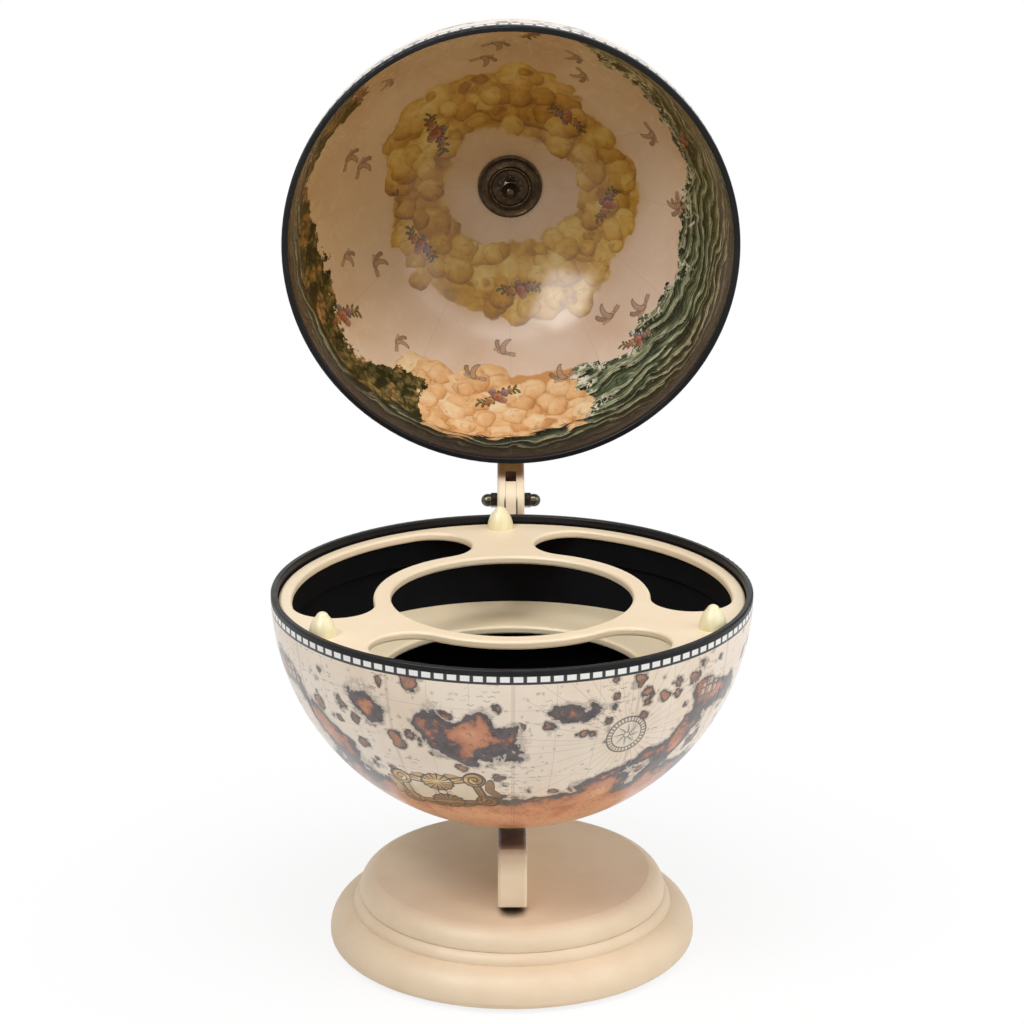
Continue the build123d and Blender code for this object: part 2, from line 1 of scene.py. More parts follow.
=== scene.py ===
"""Dresses the tabletop globe bar: two printed half globes, painted wood, bronze fittings, and a plain studio.

Lengths are in metres in the part's own frame. The prints are laid out in millimetres about the globe's centre,
with the lid shut, so that the two halves carry one print.
"""
import logging
from dataclasses import dataclass
from enum import Enum
from typing import ClassVar

import bpy
import numpy as np
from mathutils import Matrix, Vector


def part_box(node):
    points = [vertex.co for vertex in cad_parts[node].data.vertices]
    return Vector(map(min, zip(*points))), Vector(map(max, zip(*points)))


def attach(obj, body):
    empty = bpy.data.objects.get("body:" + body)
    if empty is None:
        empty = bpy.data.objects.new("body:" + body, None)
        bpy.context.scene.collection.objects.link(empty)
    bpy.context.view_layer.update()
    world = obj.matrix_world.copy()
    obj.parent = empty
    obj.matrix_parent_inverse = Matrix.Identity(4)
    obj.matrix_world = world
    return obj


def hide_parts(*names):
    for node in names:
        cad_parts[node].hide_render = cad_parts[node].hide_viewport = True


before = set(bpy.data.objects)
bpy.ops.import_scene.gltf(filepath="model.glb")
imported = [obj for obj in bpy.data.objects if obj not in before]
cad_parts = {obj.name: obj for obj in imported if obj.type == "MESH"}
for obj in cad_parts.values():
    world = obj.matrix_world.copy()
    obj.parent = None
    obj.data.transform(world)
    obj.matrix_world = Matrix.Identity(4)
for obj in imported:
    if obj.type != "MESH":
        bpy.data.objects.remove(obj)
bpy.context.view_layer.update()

LOG = logging.getLogger("globe_bar")
MM = 0.001
TURN = 2.0 * np.pi  # in radians
GORES = 12
Pair = tuple[float, float]
Triple = tuple[float, float, float]
Oval = tuple[Pair, Pair, float]

# The globe's radii in millimetres, and places in metres.
OUTSIDE = 165.0
INSIDE = 160.5
GLOBE_CENTRE = (0.0, 0.0, 0.26)
HINGE_PIN = (0.0, 0.193997, 0.261)
CROSSWISE = (1.0, 0.0, 0.0)
FORWARD = (0.0, -1.0, 0.0)
UP = (0.0, 0.0, 1.0)


# ---------------------------------------------------------------- Reckoning with node trees
class Signal:
    """One output of a node tree, which can be reckoned with like a number."""

    def __init__(self, graph: "Graph", socket: bpy.types.NodeSocket) -> None:
        """Keep the output and the graph that it belongs to."""
        self.graph = graph
        self.socket = socket

    def __add__(self, other: "Feed") -> "Signal":
        """This plus another."""
        return self.graph.math("ADD", self, other)

    def __sub__(self, other: "Feed") -> "Signal":
        """This less another."""
        return self.graph.math("SUBTRACT", self, other)

    def __rsub__(self, other: "Feed") -> "Signal":
        """Another less this."""
        return self.graph.math("SUBTRACT", other, self)

    def __mul__(self, other: "Feed") -> "Signal":
        """This times another."""
        return self.graph.math("MULTIPLY", self, other)

    def __truediv__(self, other: "Feed") -> "Signal":
        """This over another."""
        return self.graph.math("DIVIDE", self, other)

    def __neg__(self) -> "Signal":
        """This with the other sign."""
        return 0.0 - self

    def __abs__(self) -> "Signal":
        """This without its sign."""
        return self.graph.math("ABSOLUTE", self)

    __radd__ = __add__
    __rmul__ = __mul__

    def least(self, other: "Feed") -> "Signal":
        """The smaller of this and another."""
        return self.graph.math("MINIMUM", self, other)

    def most(self, other: "Feed") -> "Signal":
        """The larger of this and another."""
        return self.graph.math("MAXIMUM", self, other)

    def power(self, other: "Feed") -> "Signal":
        """This raised to a power."""
        return self.graph.math("POWER", self, other)

    def above(self, level: "Feed") -> "Signal":
        """1 where this is over a level, else 0."""
        return self.graph.math("GREATER_THAN", self, level)

    def floor(self) -> "Signal":
        """The whole number at or under this."""
        return self.graph.math("FLOOR", self)

    def fract(self) -> "Signal":
        """What is left of this over its floor."""
        return self.graph.math("FRACT", self)

    def zigzag(self) -> "Signal":
        """A zigzag that is 0.5 at each whole number and 0 half way between them."""
        return abs(self.fract() - 0.5)

    def sine(self) -> "Signal":
        """The sine of this, in radians."""
        return self.graph.math("SINE", self)

    def rise(self, low: float, high: float) -> "Signal":
        """0 under low, 1 over high, and a smooth step between them."""
        feeds = {"Value": self, "From Min": low, "From Max": high}
        return Signal(self.graph, self.graph.node("MapRange", feeds, interpolation_type="SMOOTHSTEP").outputs[0])

    def fall(self, low: float, high: float) -> "Signal":
        """1 under low, 0 over high, and a smooth step between them."""
        return 1.0 - self.rise(low, high)

    def line(self, width: float) -> "Signal":
        """1 where this is nearly nothing: a line of the given width, with soft sides."""
        return abs(self).fall(width * 0.3, width * 0.8)


Feed = Signal | float | str | tuple[float, ...]
Signals = dict[str, Signal]


class Graph:
    """Draws nodes in a tree. Each method adds what it says and gives back the output."""

    def __init__(self, tree: bpy.types.NodeTree) -> None:
        """Draw in the given tree."""
        self.tree = tree

    def feed(self, socket: bpy.types.NodeSocket, value: Feed) -> None:
        """Link a signal to an input, or set the input to a plain value.

        Args:
            socket: The input.
            value: A signal, a number, a vector, or a colour, which may be a code such as "f3dcb8".
        """
        if isinstance(value, Signal):
            self.tree.links.new(value.socket, socket)
        elif isinstance(value, str):
            socket.default_value = (*tint(value), 1.0)
        elif isinstance(value, tuple) and socket.type == "RGBA":
            socket.default_value = (*value, 1.0)
        else:
            socket.default_value = value

    def node(self, kind: str, feeds: dict[str | int, Feed] | None = None, **settings: object) -> bpy.types.Node:
        """Add a node.

        Args:
            kind: The node's Blender type, less the "ShaderNode" before it.
            feeds: What goes into its inputs, by name or by number.
            settings: Its properties by name.

        Returns:
            The node.
        """
        made = self.tree.nodes.new("ShaderNode" + kind)
        for name, value in settings.items():
            setattr(made, name, value)
        for name, value in (feeds or {}).items():
            self.feed(made.inputs[name], value)
        return made

    def math(self, operation: str, *values: Feed) -> Signal:
        """One Math node."""
        return Signal(self, self.node("Math", dict(enumerate(values)), operation=operation).outputs[0])

    def vector(self, operation: str, *values: Feed) -> Signal:
        """One Vector Math node that gives a vector."""
        return Signal(self, self.node("VectorMath", dict(enumerate(values)), operation=operation).outputs["Vector"])

    def dot(self, one: Feed, other: Feed) -> Signal:
        """The dot product of two vectors."""
        return Signal(self, self.node("VectorMath", {0: one, 1: other}, operation="DOT_PRODUCT").outputs["Value"])

    def split(self, vector: Feed) -> tuple[Signal, Signal, Signal]:
        """The three parts of a vector."""
        made = self.node("SeparateXYZ", {0: vector})
        return tuple(Signal(self, made.outputs[axis]) for axis in "XYZ")

    def join(self, x: Feed, y: Feed, z: Feed = 0.0) -> Signal:
        """A vector made of three numbers."""
        return Signal(self, self.node("CombineXYZ", {0: x, 1: y, 2: z}).outputs[0])

    def angle(self, y: Feed, x: Feed) -> Signal:
        """The angle of the point (x, y), in radians."""
        return self.math("ARCTAN2", y, x)

    def reach(self, x: Signal, y: Signal) -> Signal:
        """How far the point (x, y) is from nothing."""
        return self.math("SQRT", x * x + y * y)

    @staticmethod
    def oval(u: Signal, v: Signal, middle: Pair, size: Pair, turn: float) -> Signal:
        """How far inside a turned oval a point is.

        Args:
            u: Millimetres along.
            v: Millimetres across.
            middle: The oval's middle.
            size: Half its length and half its width.
            turn: How far its length is turned from u, in radians.

        Returns:
            1 less the squares of the point's two reaches, each over the oval's own.
        """
        cosine, sine = float(np.cos(turn)), float(np.sin(turn))
        along = ((u - middle[0]) * cosine + (v - middle[1]) * sine) / size[0]
        across = ((v - middle[1]) * cosine - (u - middle[0]) * sine) / size[1]
        return 1.0 - along * along - across * across

    def turned(self, vector: Feed, angle: Feed) -> Signal:
        """A vector turned about the globe's axis."""
        feeds = {"Vector": vector, "Angle": angle}
        return Signal(self, self.node("VectorRotate", feeds, rotation_type="Z_AXIS").outputs[0])

    def level(self, name: str) -> Signal:
        """A number that a mesh carries under a name."""
        return Signal(self, self.node("Attribute", attribute_name=name).outputs["Fac"])

    def chart(self) -> Signal:
        """The print's own coordinates: millimetres about the globe's centre with the lid shut."""
        return Signal(self, self.node("Attribute", attribute_name="chart").outputs["Vector"])

    def place(self) -> Signal:
        """The piece's own coordinates, in metres."""
        return Signal(self, self.node("TexCoord").outputs["Object"])

    def normal(self) -> Signal:
        """The way that the surface faces."""
        return Signal(self, self.node("NewGeometry").outputs["Normal"])

    def ray(self, kind: str) -> Signal:
        """1 for a ray of a kind, such as Camera, else 0."""
        return Signal(self, self.node("LightPath").outputs[f"Is {kind} Ray"])

    def noise(self, place: Feed, size: float, detail: float = 2.0, rough: float = 0.5, swirl: float = 0.0) -> Signal:
        """Cloudy noise from 0 to 1.

        Args:
            place: Where.
            size: How large its features are, in the place's own units.
            detail: Octaves.
            rough: How strong each further octave is.
            swirl: How far it's warped by itself.

        Returns:
            The noise.
        """
        feeds = {"Vector": place, "Scale": 1.0 / size, "Detail": detail, "Roughness": rough, "Distortion": swirl}
        return Signal(self, self.node("TexNoise", feeds).outputs[0])

    def warped(self, place: Feed, size: float, reach: float) -> Signal:
        """A place pushed about by noise.

        Args:
            place: Where.
            size: How large the noise's features are, in the place's own units.
            reach: About how far it pushes each way.

        Returns:
            The pushed place.
        """
        noise = self.node("TexNoise", {"Vector": place, "Scale": 1.0 / size, "Detail": 1.0})
        shift = self.vector("SUBTRACT", Signal(self, noise.outputs["Color"]), (0.5, 0.5, 0.5))
        return self.vector("ADD", place, self.vector("MULTIPLY", shift, (reach * 2,) * 3))

    def cells(self, place: Feed, size: Feed) -> Signals:
        """Cells about scattered points, as a Voronoi node makes them.

        Args:
            place: Where.
            size: How large they are, in the place's own units.

        Returns:
            Distance from the cell's point in cell sizes, the cell's own Color, and its point's Position.
        """
        scale = self.math("DIVIDE", 1.0, size) if isinstance(size, Signal) else 1.0 / size
        made = self.node("TexVoronoi", {"Vector": place, "Scale": scale})
        return {name: Signal(self, made.outputs[name]) for name in ("Distance", "Color", "Position")}

    def chance(self, place: Feed) -> Signal:
        """A number from 0 to 1 that jumps from place to place."""
        return Signal(self, self.node("TexWhiteNoise", {"Vector": place}).outputs["Value"])

    def chances(self, place: Feed) -> Signal:
        """Three numbers from 0 to 1 that jump from place to place, as a vector."""
        return Signal(self, self.node("TexWhiteNoise", {"Vector": place}).outputs["Color"])

    def mix(self, share: Feed, under: Feed, over: Feed, way: str = "MIX") -> Signal:
        """One colour laid on another.

        Args:
            share: How much of the upper colour shows.
            under: The lower colour.
            over: The upper colour.
            way: Blender's name for how they mix.

        Returns:
            The colour.
        """
        feeds = {0: share, 6: under, 7: over}
        return Signal(self, self.node("Mix", feeds, data_type="RGBA", blend_type=way).outputs[2])

    def ramp(self, share: Feed, *stops: tuple[float, str]) -> Signal:
        """A colour from a row of colours.

        Args:
            share: Where along the row.
            stops: Positions from 0 to 1, each with its colour's code.

        Returns:
            The colour.
        """
        node = self.node("ValToRGB", {0: share})
        elements = node.color_ramp.elements
        while len(elements) < len(stops):
            elements.new(1.0)
        for element, (position, code) in zip(elements, stops):
            element.position = position
            element.color = (*tint(code), 1.0)
        return Signal(self, node.outputs["Color"])

    def bump(self, height: Feed, distance: float) -> Signal:
        """A normal from a height of 0 to 1, where 1 stands for a distance in metres."""
        return Signal(self, self.node("Bump", {"Distance": distance, "Height": height}).outputs[0])


def tint(code: str) -> Triple:
    """A colour in the linear light that shaders use.

    Args:
        code: The colour as it's seen on a screen, such as "f3dcb8".

    Returns:
        Its red, green and blue, by the screen's own curve.
    """
    seen = np.array([int(code[at : at + 2], 16) for at in (0, 2, 4)]) / 255.0
    linear = np.where(seen <= 0.04045, seen / 12.92, ((seen + 0.055) / 1.055) ** 2.4)
    return tuple(float(part) for part in linear)


def flat_axes(east: float, north: float, turn: float) -> tuple[np.ndarray, np.ndarray, np.ndarray]:
    """Axes of flat coordinates about a spot on the globe.

    Args:
        east: The spot's longitude in radians.
        north: Its latitude in radians.
        turn: How far the first two axes are turned, in radians.

    Returns:
        Unit vectors along, across, and out of the globe: east and north turned by the turn, and their cross product.
    """
    outward = np.array([np.cos(north) * np.cos(east), np.cos(north) * np.sin(east), np.sin(north)])
    eastward = np.array([-np.sin(east), np.cos(east), 0.0])
    northward = np.cross(outward, eastward)
    along = eastward * np.cos(turn) + northward * np.sin(turn)
    across = northward * np.cos(turn) - eastward * np.sin(turn)
    return along, across, outward


# ---------------------------------------------------------------- Effects that finishes share
class Effect:
    """A node group with named inputs and outputs. Each kind says what they are and draws the group once."""

    takes: ClassVar[dict[str, float | tuple[float, ...]]] = {}
    gives: ClassVar[tuple[str, ...]] = ("Mask",)

    @classmethod
    def draw(cls, graph: Graph, given: Signals) -> Signals:
        """Draw the group's nodes.

        Args:
            graph: The group's graph.
            given: Its inputs by name.

        Returns:
            Its outputs by name.
        """
        raise NotImplementedError

    @classmethod
    def tree(cls) -> bpy.types.NodeTree:
        """The group's tree, drawn when it's first asked for.

        Returns:
            The tree.
        """
        if cls.__name__ in bpy.data.node_groups:
            return bpy.data.node_groups[cls.__name__]
        tree = bpy.data.node_groups.new(cls.__name__, "ShaderNodeTree")
        for name, usual in cls.takes.items():
            kind = "NodeSocketVector" if isinstance(usual, tuple) else "NodeSocketFloat"
            tree.interface.new_socket(name=name, in_out="INPUT", socket_type=kind)
        for name in cls.gives:
            kind = "NodeSocketColor" if name.startswith("Colour") else "NodeSocketFloat"
            tree.interface.new_socket(name=name, in_out="OUTPUT", socket_type=kind)
        graph = Graph(tree)
        entry = tree.nodes.new("NodeGroupInput")
        leave = tree.nodes.new("NodeGroupOutput")
        given = {name: Signal(graph, entry.outputs[name]) for name in cls.takes}
        for name, signal in cls.draw(graph, given).items():
            graph.feed(leave.inputs[name], signal)
        return tree

    @classmethod
    def lay(cls, graph: Graph, **values: Feed) -> list[Signal]:
        """Place the group in a tree.

        Args:
            graph: The tree's graph.
            values: What goes into each input; the rest take their usual values.

        Returns:
            The group's outputs, in the order of gives.
        """
        node = graph.node("Group", node_tree=cls.tree())
        for name, usual in cls.takes.items():
            graph.feed(node.inputs[name], values.get(name, usual))
        return [Signal(graph, node.outputs[name]) for name in cls.gives]


class PaintFilm(Effect):
    """Sprayed and rubbed paint over wood: a height for the bump, and a mottle where the coat is thicker."""

    takes = {"Place": (0.0, 0.0, 0.0)}
    gives = ("Height", "Mottle")

    @classmethod
    def draw(cls, graph: Graph, given: Signals) -> Signals:
        """Fine peel, slow sags, and grain drawn out along X.

        Args:
            graph: The group's graph.
            given: Place, in metres.

        Returns:
            Height and Mottle.
        """
        place = given["Place"]
        peel = graph.noise(place, 0.0013, 2.0)
        grain = graph.noise(graph.vector("MULTIPLY", place, (0.12, 1.0, 1.0)), 0.0022, 3.0)
        sag = graph.noise(place, 0.03, 3.0)
        return {"Height": peel * 0.45 + grain * 0.3 + sag * 0.9, "Mottle": sag * 0.7 + grain * 0.3}


class EdgeWear(Effect):
    """Where handling has rubbed the edges: 1 on sharp corners, broken up by noise."""

    takes = {"Place": (0.0, 0.0, 0.0), "Width": 0.001}

    @classmethod
    def draw(cls, graph: Graph, given: Signals) -> Signals:
        """One less the dot product of the surface's normal and the same normal with its edges rounded.

        Args:
            graph: The group's graph.
            given: Place, and the Width of the rounding, in metres.

        Returns:
            Mask.
        """
        soft = Signal(graph, graph.node("Bevel", {"Radius": given["Width"]}, samples=4).outputs[0])
        bend = 1.0 - graph.dot(soft, graph.normal())
        rub = graph.noise(given["Place"], 0.006, 4.0, 0.6)
        return {"Mask": bend.rise(0.01, 0.22) * rub.rise(0.3, 0.62)}


class CornerDustAndShade(Effect):
    """Dust and old wax in inside corners, and painted shade there: 1 deep in a crevice, 0 on open surfaces."""

    takes = {"Place": (0.0, 0.0, 0.0), "Reach": 0.006}

    @classmethod
    def draw(cls, graph: Graph, given: Signals) -> Signals:
        """What the neighbourhood hides, broken up a little by noise.

        Args:
            graph: The group's graph.
            given: Place, and the Reach of a crevice, in metres.

        Returns:
            Mask.
        """
        node = graph.node("AmbientOcclusion", {"Distance": given["Reach"]}, samples=6, only_local=True)
        hidden = 1.0 - Signal(graph, node.outputs["AO"])
        return {"Mask": hidden.rise(0.12, 0.75) * (graph.noise(given["Place"], 0.009, 3.0) * 0.6 + 0.6)}


class AgedPaper(Effect):
    """Old lacquered paper: slow stains, fine fibre, and foxing spots. Places are in millimetres."""

    takes = {"Chart": (0.0, 0.0, 0.0)}
    gives = ("StainAndPaintedShade", "Fibre", "Foxing")

    @classmethod
    def draw(cls, graph: Graph, given: Signals) -> Signals:
        """Noise at 70 mm, noise at under 1 mm, and small round cells that noise lets through.

        Args:
            graph: The group's graph.
            given: Chart, a place in millimetres.

        Returns:
            Stain, Fibre and Foxing.
        """
        chart = given["Chart"]
        spots = graph.cells(graph.warped(chart, 3.0, 0.8), 9.0)["Distance"].fall(0.05, 0.16)
        return {
            "StainAndPaintedShade": graph.noise(chart, 70.0, 5.0, 0.6, 0.4).rise(0.36, 0.72),
            "Fibre": graph.noise(chart, 0.9, 3.0, 0.7),
            "Foxing": spots * graph.noise(chart, 30.0).rise(0.5, 0.66),
        }


class RuledLines(Effect):
    """Even lines across a run from 0 to 1: Count of them in a Length, each of a Width, both in millimetres."""

    takes = {"Run": 0.0, "Count": 36.0, "Length": 1000.0, "Width": 0.3}

    @classmethod
    def draw(cls, graph: Graph, given: Signals) -> Signals:
        """The run is cut into equal steps, and a line lies where each step begins.

        Args:
            graph: The group's graph.
            given: Run, Count, Length and Width.

        Returns:
            Mask.
        """
        away = (given["Run"] * given["Count"] + 0.5).zigzag() * given["Length"] / given["Count"]
        return {"Mask": 1.0 - (away / given["Width"]).rise(0.35, 0.85)}


class RimScale(Effect):
    """The scale round the mouth: white blocks on a black band, closed by a black line."""

    takes = {"Run": 0.0, "Drop": 0.0}
    gives = ("Black", "White")
    blocks: ClassVar[float] = 120.0

    @classmethod
    def draw(cls, graph: Graph, given: Signals) -> Signals:
        """Blocks 6.2 mm long lie 4.6 to 8.5 mm from the equator, in a band that ends at 10.2 mm.

        Args:
            graph: The group's graph.
            given: Run, 0 to 1 round the axis, and Drop, millimetres from the equator.

        Returns:
            Black and White.
        """
        block = (given["Run"] * cls.blocks).fract()
        along = block.rise(0.02, 0.05) * block.fall(0.74, 0.77)
        across = given["Drop"].rise(4.45, 4.75) * given["Drop"].fall(8.3, 8.6)
        return {"Black": given["Drop"].fall(10.0, 10.3), "White": along * across}


class SeaTicks(Effect):
    """Small wave marks in loose rows, each on its own cell."""

    takes = {"East": 0.0, "North": 0.0}
    long: ClassVar[float] = 8.0
    high: ClassVar[float] = 3.4

    @classmethod
    def draw(cls, graph: Graph, given: Signals) -> Signals:
        """A cell shows a short stroke bent like a wave if its chance is high enough.

        Args:
            graph: The group's graph.
            given: East and North, in millimetres.

        Returns:
            Mask.
        """
        rows = given["North"] / cls.high
        across = given["East"] / cls.long + rows.floor() * 0.37
        cell = graph.join(across.floor(), rows.floor())
        u, v = across.fract() - 0.5, rows.fract() - 0.5
        bend = (u * 14.0 + graph.chance(cell) * 6.0).sine() * 0.13
        stroke = (v - bend).line(0.16) * abs(u).fall(0.2, 0.4)
        return {"Mask": stroke * graph.chance(graph.vector("ADD", cell, (7.0, 3.0, 0.0))).above(0.62)}


class HillMarks(Effect):
    """Little hills shaded on one side, each on its own cell."""

    takes = {"East": 0.0, "North": 0.0}
    long: ClassVar[float] = 6.0
    high: ClassVar[float] = 4.6

    @classmethod
    def draw(cls, graph: Graph, given: Signals) -> Signals:
        """A cell shows the curve v = 0.3 - 5 u^2 with a darker right side if its chance is high enough.

        Args:
            graph: The group's graph.
            given: East and North, in millimetres.

        Returns:
            Mask.
        """
        rows = given["North"] / cls.high
        across = given["East"] / cls.long + rows.floor() * 0.43
        cell = graph.join(across.floor(), rows.floor(), 5.0)
        u, v = across.fract() - 0.5, 0.5 - rows.fract()
        under = 0.3 - u * u * 5.0 - v
        side = under.rise(-0.02, 0.04) * u.rise(0.0, 0.06) * v.rise(-0.25, -0.1) * 0.55
        crest = under.line(0.14) * abs(u).fall(0.28, 0.36)
        return {"Mask": crest.most(side) * graph.chance(cell).above(0.66)}


class WindRose(Effect):
    """A plain wind rose, 15 mm in radius: three rings, a row of petals, and a star of eight half-shaded points."""

    takes = {"U": 0.0, "V": 0.0}
    gives = ("Ink", "Fill")
    petals: ClassVar[float] = 32.0
    points: ClassVar[float] = 8.0

    @classmethod
    def draw(cls, graph: Graph, given: Signals) -> Signals:
        """The star reaches 10.4 - 7.2 p^0.55 mm, where p runs from 0 at a tip to 1 at a valley.

        Args:
            graph: The group's graph.
            given: U and V, in millimetres.

        Returns:
            Ink and Fill.
        """
        out = graph.reach(given["U"], given["V"])
        turn = graph.angle(given["V"], given["U"]) / TURN
        rings = (out - 14.5).line(1.1).most((out - 10.9).line(0.8)).most((out - 2.1).line(0.7))
        petals = (turn * cls.petals).zigzag().fall(0.2, 0.32) * (out - 12.7).line(3.2)
        beyond = out - (10.4 - ((turn * cls.points + 0.5).zigzag() * 2.0).power(0.55) * 7.2)
        shaded = beyond.fall(-0.2, 0.2) * out.rise(2.2, 2.4) * (turn * cls.points).fract().above(0.5)
        edge = beyond.line(0.45) * out.rise(2.0, 2.3)
        return {"Ink": rings.most(petals * 0.8).most(shaded * 0.75).most(edge * 0.8), "Fill": out.fall(14.3, 14.8)}


class Cartouche(Effect):
    """A strapwork frame, 77 by 42 mm, with scrolls at its corners, round a plain panel with a rayed sun."""

    takes = {"U": 0.0, "V": 0.0}
    gives = ("Ink", "Frame", "Panel", "Light")
    scroll: ClassVar[Pair] = (27.0, 13.0)
    shell: ClassVar[float] = 11.5
    side_tongue: ClassVar[Oval] = ((34.5, 3.4), (8.0, 3.0), 1.2)
    top_tongue: ClassVar[Oval] = ((13.5, 17.5), (6.0, 2.2), -0.4)

    @classmethod
    def draw(cls, graph: Graph, given: Signals) -> Signals:
        """One quarter is drawn and mirrored: a box with rounded corners, a band, scrolls, tongues and a shell.

        Args:
            graph: The group's graph.
            given: U and V, in millimetres.

        Returns:
            Ink, Frame, Panel and Light.
        """
        u, v = given["U"], given["V"]
        side, rise = abs(u), abs(v)
        box = graph.reach((side - 20.0).most(0.0), (rise - 7.0).most(0.0)) + (side * 0.24).sine() * 0.7
        band = box.fall(9.0, 9.3) * box.rise(3.2, 3.5)
        scroll_u, scroll_v = side - cls.scroll[0], rise - cls.scroll[1]
        scroll_out = graph.reach(scroll_u, scroll_v)
        spiral = (scroll_out / 3.4 - graph.angle(scroll_v, scroll_u) / TURN + 0.3).zigzag().rise(0.28, 0.42)
        scroll = scroll_out.fall(7.2, 7.5)
        shell_u, shell_v = u * 0.8, rise - cls.shell
        shell_out = graph.reach(shell_u, shell_v)
        frill = (graph.angle(shell_v, shell_u) / TURN * 14.0).zigzag()
        frilled = shell_out - frill * 2.0
        shell = frilled.fall(8.4, 8.8)
        tongue = graph.oval(side, rise, *cls.side_tongue).most(graph.oval(side, rise, *cls.top_tongue))
        sun = graph.reach(u, v)
        rays = (graph.angle(v, u) / TURN * 16.0).zigzag().fall(0.1, 0.24) * sun.rise(3.8, 4.2) * sun.fall(6.0, 7.4)
        lines = (box - 9.2).line(1.1).most((box - 3.3).line(1.0)).most((box - 6.0).line(0.6))
        lines = lines.most(tongue.line(0.3)) * (1.0 - scroll) * (1.0 - shell)
        lines = lines.most((scroll_out - 7.3).line(1.0)).most((frilled - 8.6).line(1.0)).most((sun - 3.2).line(0.8))
        shade = ((u + v) / 1.7).zigzag().fall(0.12, 0.3) * (u - v * 1.6).rise(4.0, 26.0) * band * 0.7
        ribs = frill.rise(0.3, 0.42) * shell_out.rise(1.8, 3.0)
        return {
            "Ink": lines.most(spiral * scroll).most(ribs * shell).most(rays * 0.8).most(shade),
            "Frame": band.most(scroll).most(shell).most(tongue.rise(0.0, 0.2)),
            "Panel": box.fall(3.0, 3.3),
            "Light": (v * 1.4 - u * 0.5).rise(-30.0, 30.0) * 0.6 + abs(box - 6.2).fall(0.0, 2.6) * 0.4,
        }


class SmallShip(Effect):
    """A plain old sailing ship, 25 mm long: a hull, three masts with full sails, and the water under it."""

    takes = {"U": 0.0, "V": 0.0}
    gives = ("Ink", "Sail")
    masts: ClassVar[tuple[Triple, ...]] = ((-7.2, 7.0, 2.6), (0.2, 10.0, 3.6), (7.4, 6.2, 2.4))

    @classmethod
    def draw(cls, graph: Graph, given: Signals) -> Signals:
        """The hull lies between two parabolas; each sail is a box whose lee side bulges by a parabola.

        Args:
            graph: The group's graph.
            given: U and V, in millimetres.

        Returns:
            Ink and Sail.
        """
        u, v = given["U"], given["V"]
        deck = u * u * 0.018 - 4.2
        keel = u * u * 0.055 - 8.4
        hull = (deck - v).rise(0.0, 0.3) * (v - keel).rise(0.0, 0.3) * abs(u).fall(12.2, 12.6)
        planks = ((v - deck) / 1.1).zigzag().fall(0.1, 0.3)
        ink, sails = hull * (planks * 0.35 + 0.55), hull * 0.6
        for mast, tall, width in cls.masts:
            ink = ink.most((u - mast).line(0.8) * v.rise(-4.6, -4.2) * v.fall(tall, tall + 0.4))
            for foot, head in ((-3.2, tall * 0.32), (tall * 0.38, tall * 0.92)):
                middle, half = (foot + head) / 2.0, (head - foot) / 2.0
                bulge = (1.0 - ((v - middle) / half).power(2.0)) * 1.3
                shape = (width - abs(u - mast - bulge)).least(half - abs(v - middle))
                sails = sails.most(shape.rise(0.0, 0.25))
                lee = shape.rise(0.0, 0.4) * (u - mast - bulge).fall(-1.6, -0.4)
                ink = ink.most(shape.line(0.8)).most(lee * 0.35)
        near = ((u * 1.3).sine() * 0.35 + v + 9.0).line(0.5) * abs(u).fall(13.0, 15.0)
        far = ((u * 1.1 + 1.0).sine() * 0.35 + v + 10.6).line(0.45) * abs(u + 2.0).fall(8.0, 10.0)
        return {"Ink": ink.most(near.most(far)), "Sail": sails}


class Puffs(Effect):
    """A layer of round cloud heads.

    Reach is millimetres inside a head's edge, Light is high on its lit side, and Rim is 1 along its drawn edge.
    Turn and Down say where the head's middle lies, so that a cloud can be made of whole heads.
    """

    takes = {"Chart": (0.0, 0.0, 0.0), "Size": 16.0, "Seed": 0.0}
    gives = ("Reach", "Light", "Rim", "Turn", "Down")
    radius: ClassVar[float] = 0.62
    to_light: ClassVar[Triple] = (-0.35, -0.9, 0.25)

    @classmethod
    def draw(cls, graph: Graph, given: Signals) -> Signals:
        """A head is a ball about a cell's point, its radius in cells; light falls off across it and at its rim.

        Args:
            graph: The group's graph.
            given: Chart, Size and Seed, in millimetres.

        Returns:
            Reach, Light, Rim, Turn and Down.
        """
        size = given["Size"]
        slip = graph.join(given["Seed"], given["Seed"], given["Seed"])
        place = graph.vector("ADD", graph.warped(graph.warped(given["Chart"], 14.0, 3.2), 4.0, 0.7), slip)
        cells = graph.cells(place, size)
        out = cells["Distance"]
        tilt = graph.dot(graph.vector("SUBTRACT", place, cells["Position"]), cls.to_light) / size
        dapple = graph.noise(place, 6.0, 3.0, 0.6) - 0.5
        own, _, _ = graph.split(cells["Color"])
        light = tilt * 0.34 + 0.6 + dapple * 0.5 + (own - 0.5) * 0.22 - (out / cls.radius).power(4.0) * 0.3
        reach = (cls.radius - out) * size
        curl = (out * 2.4 + tilt * 1.4 + graph.noise(place, 14.0)).zigzag().fall(0.03, 0.12)
        curl = curl * graph.noise(place, 8.0, 1.0).rise(0.5, 0.62) * 0.7
        rim = (reach.fall(0.3, 1.5) * (tilt + dapple * 1.6).fall(-0.1, 0.35)).most(curl)
        x, y, z = graph.split(graph.vector("SUBTRACT", cells["Position"], slip))
        down = graph.angle(graph.reach(x, y), abs(z)) * INSIDE
        return {"Reach": reach, "Light": light, "Rim": rim, "Turn": graph.angle(y, x), "Down": down}


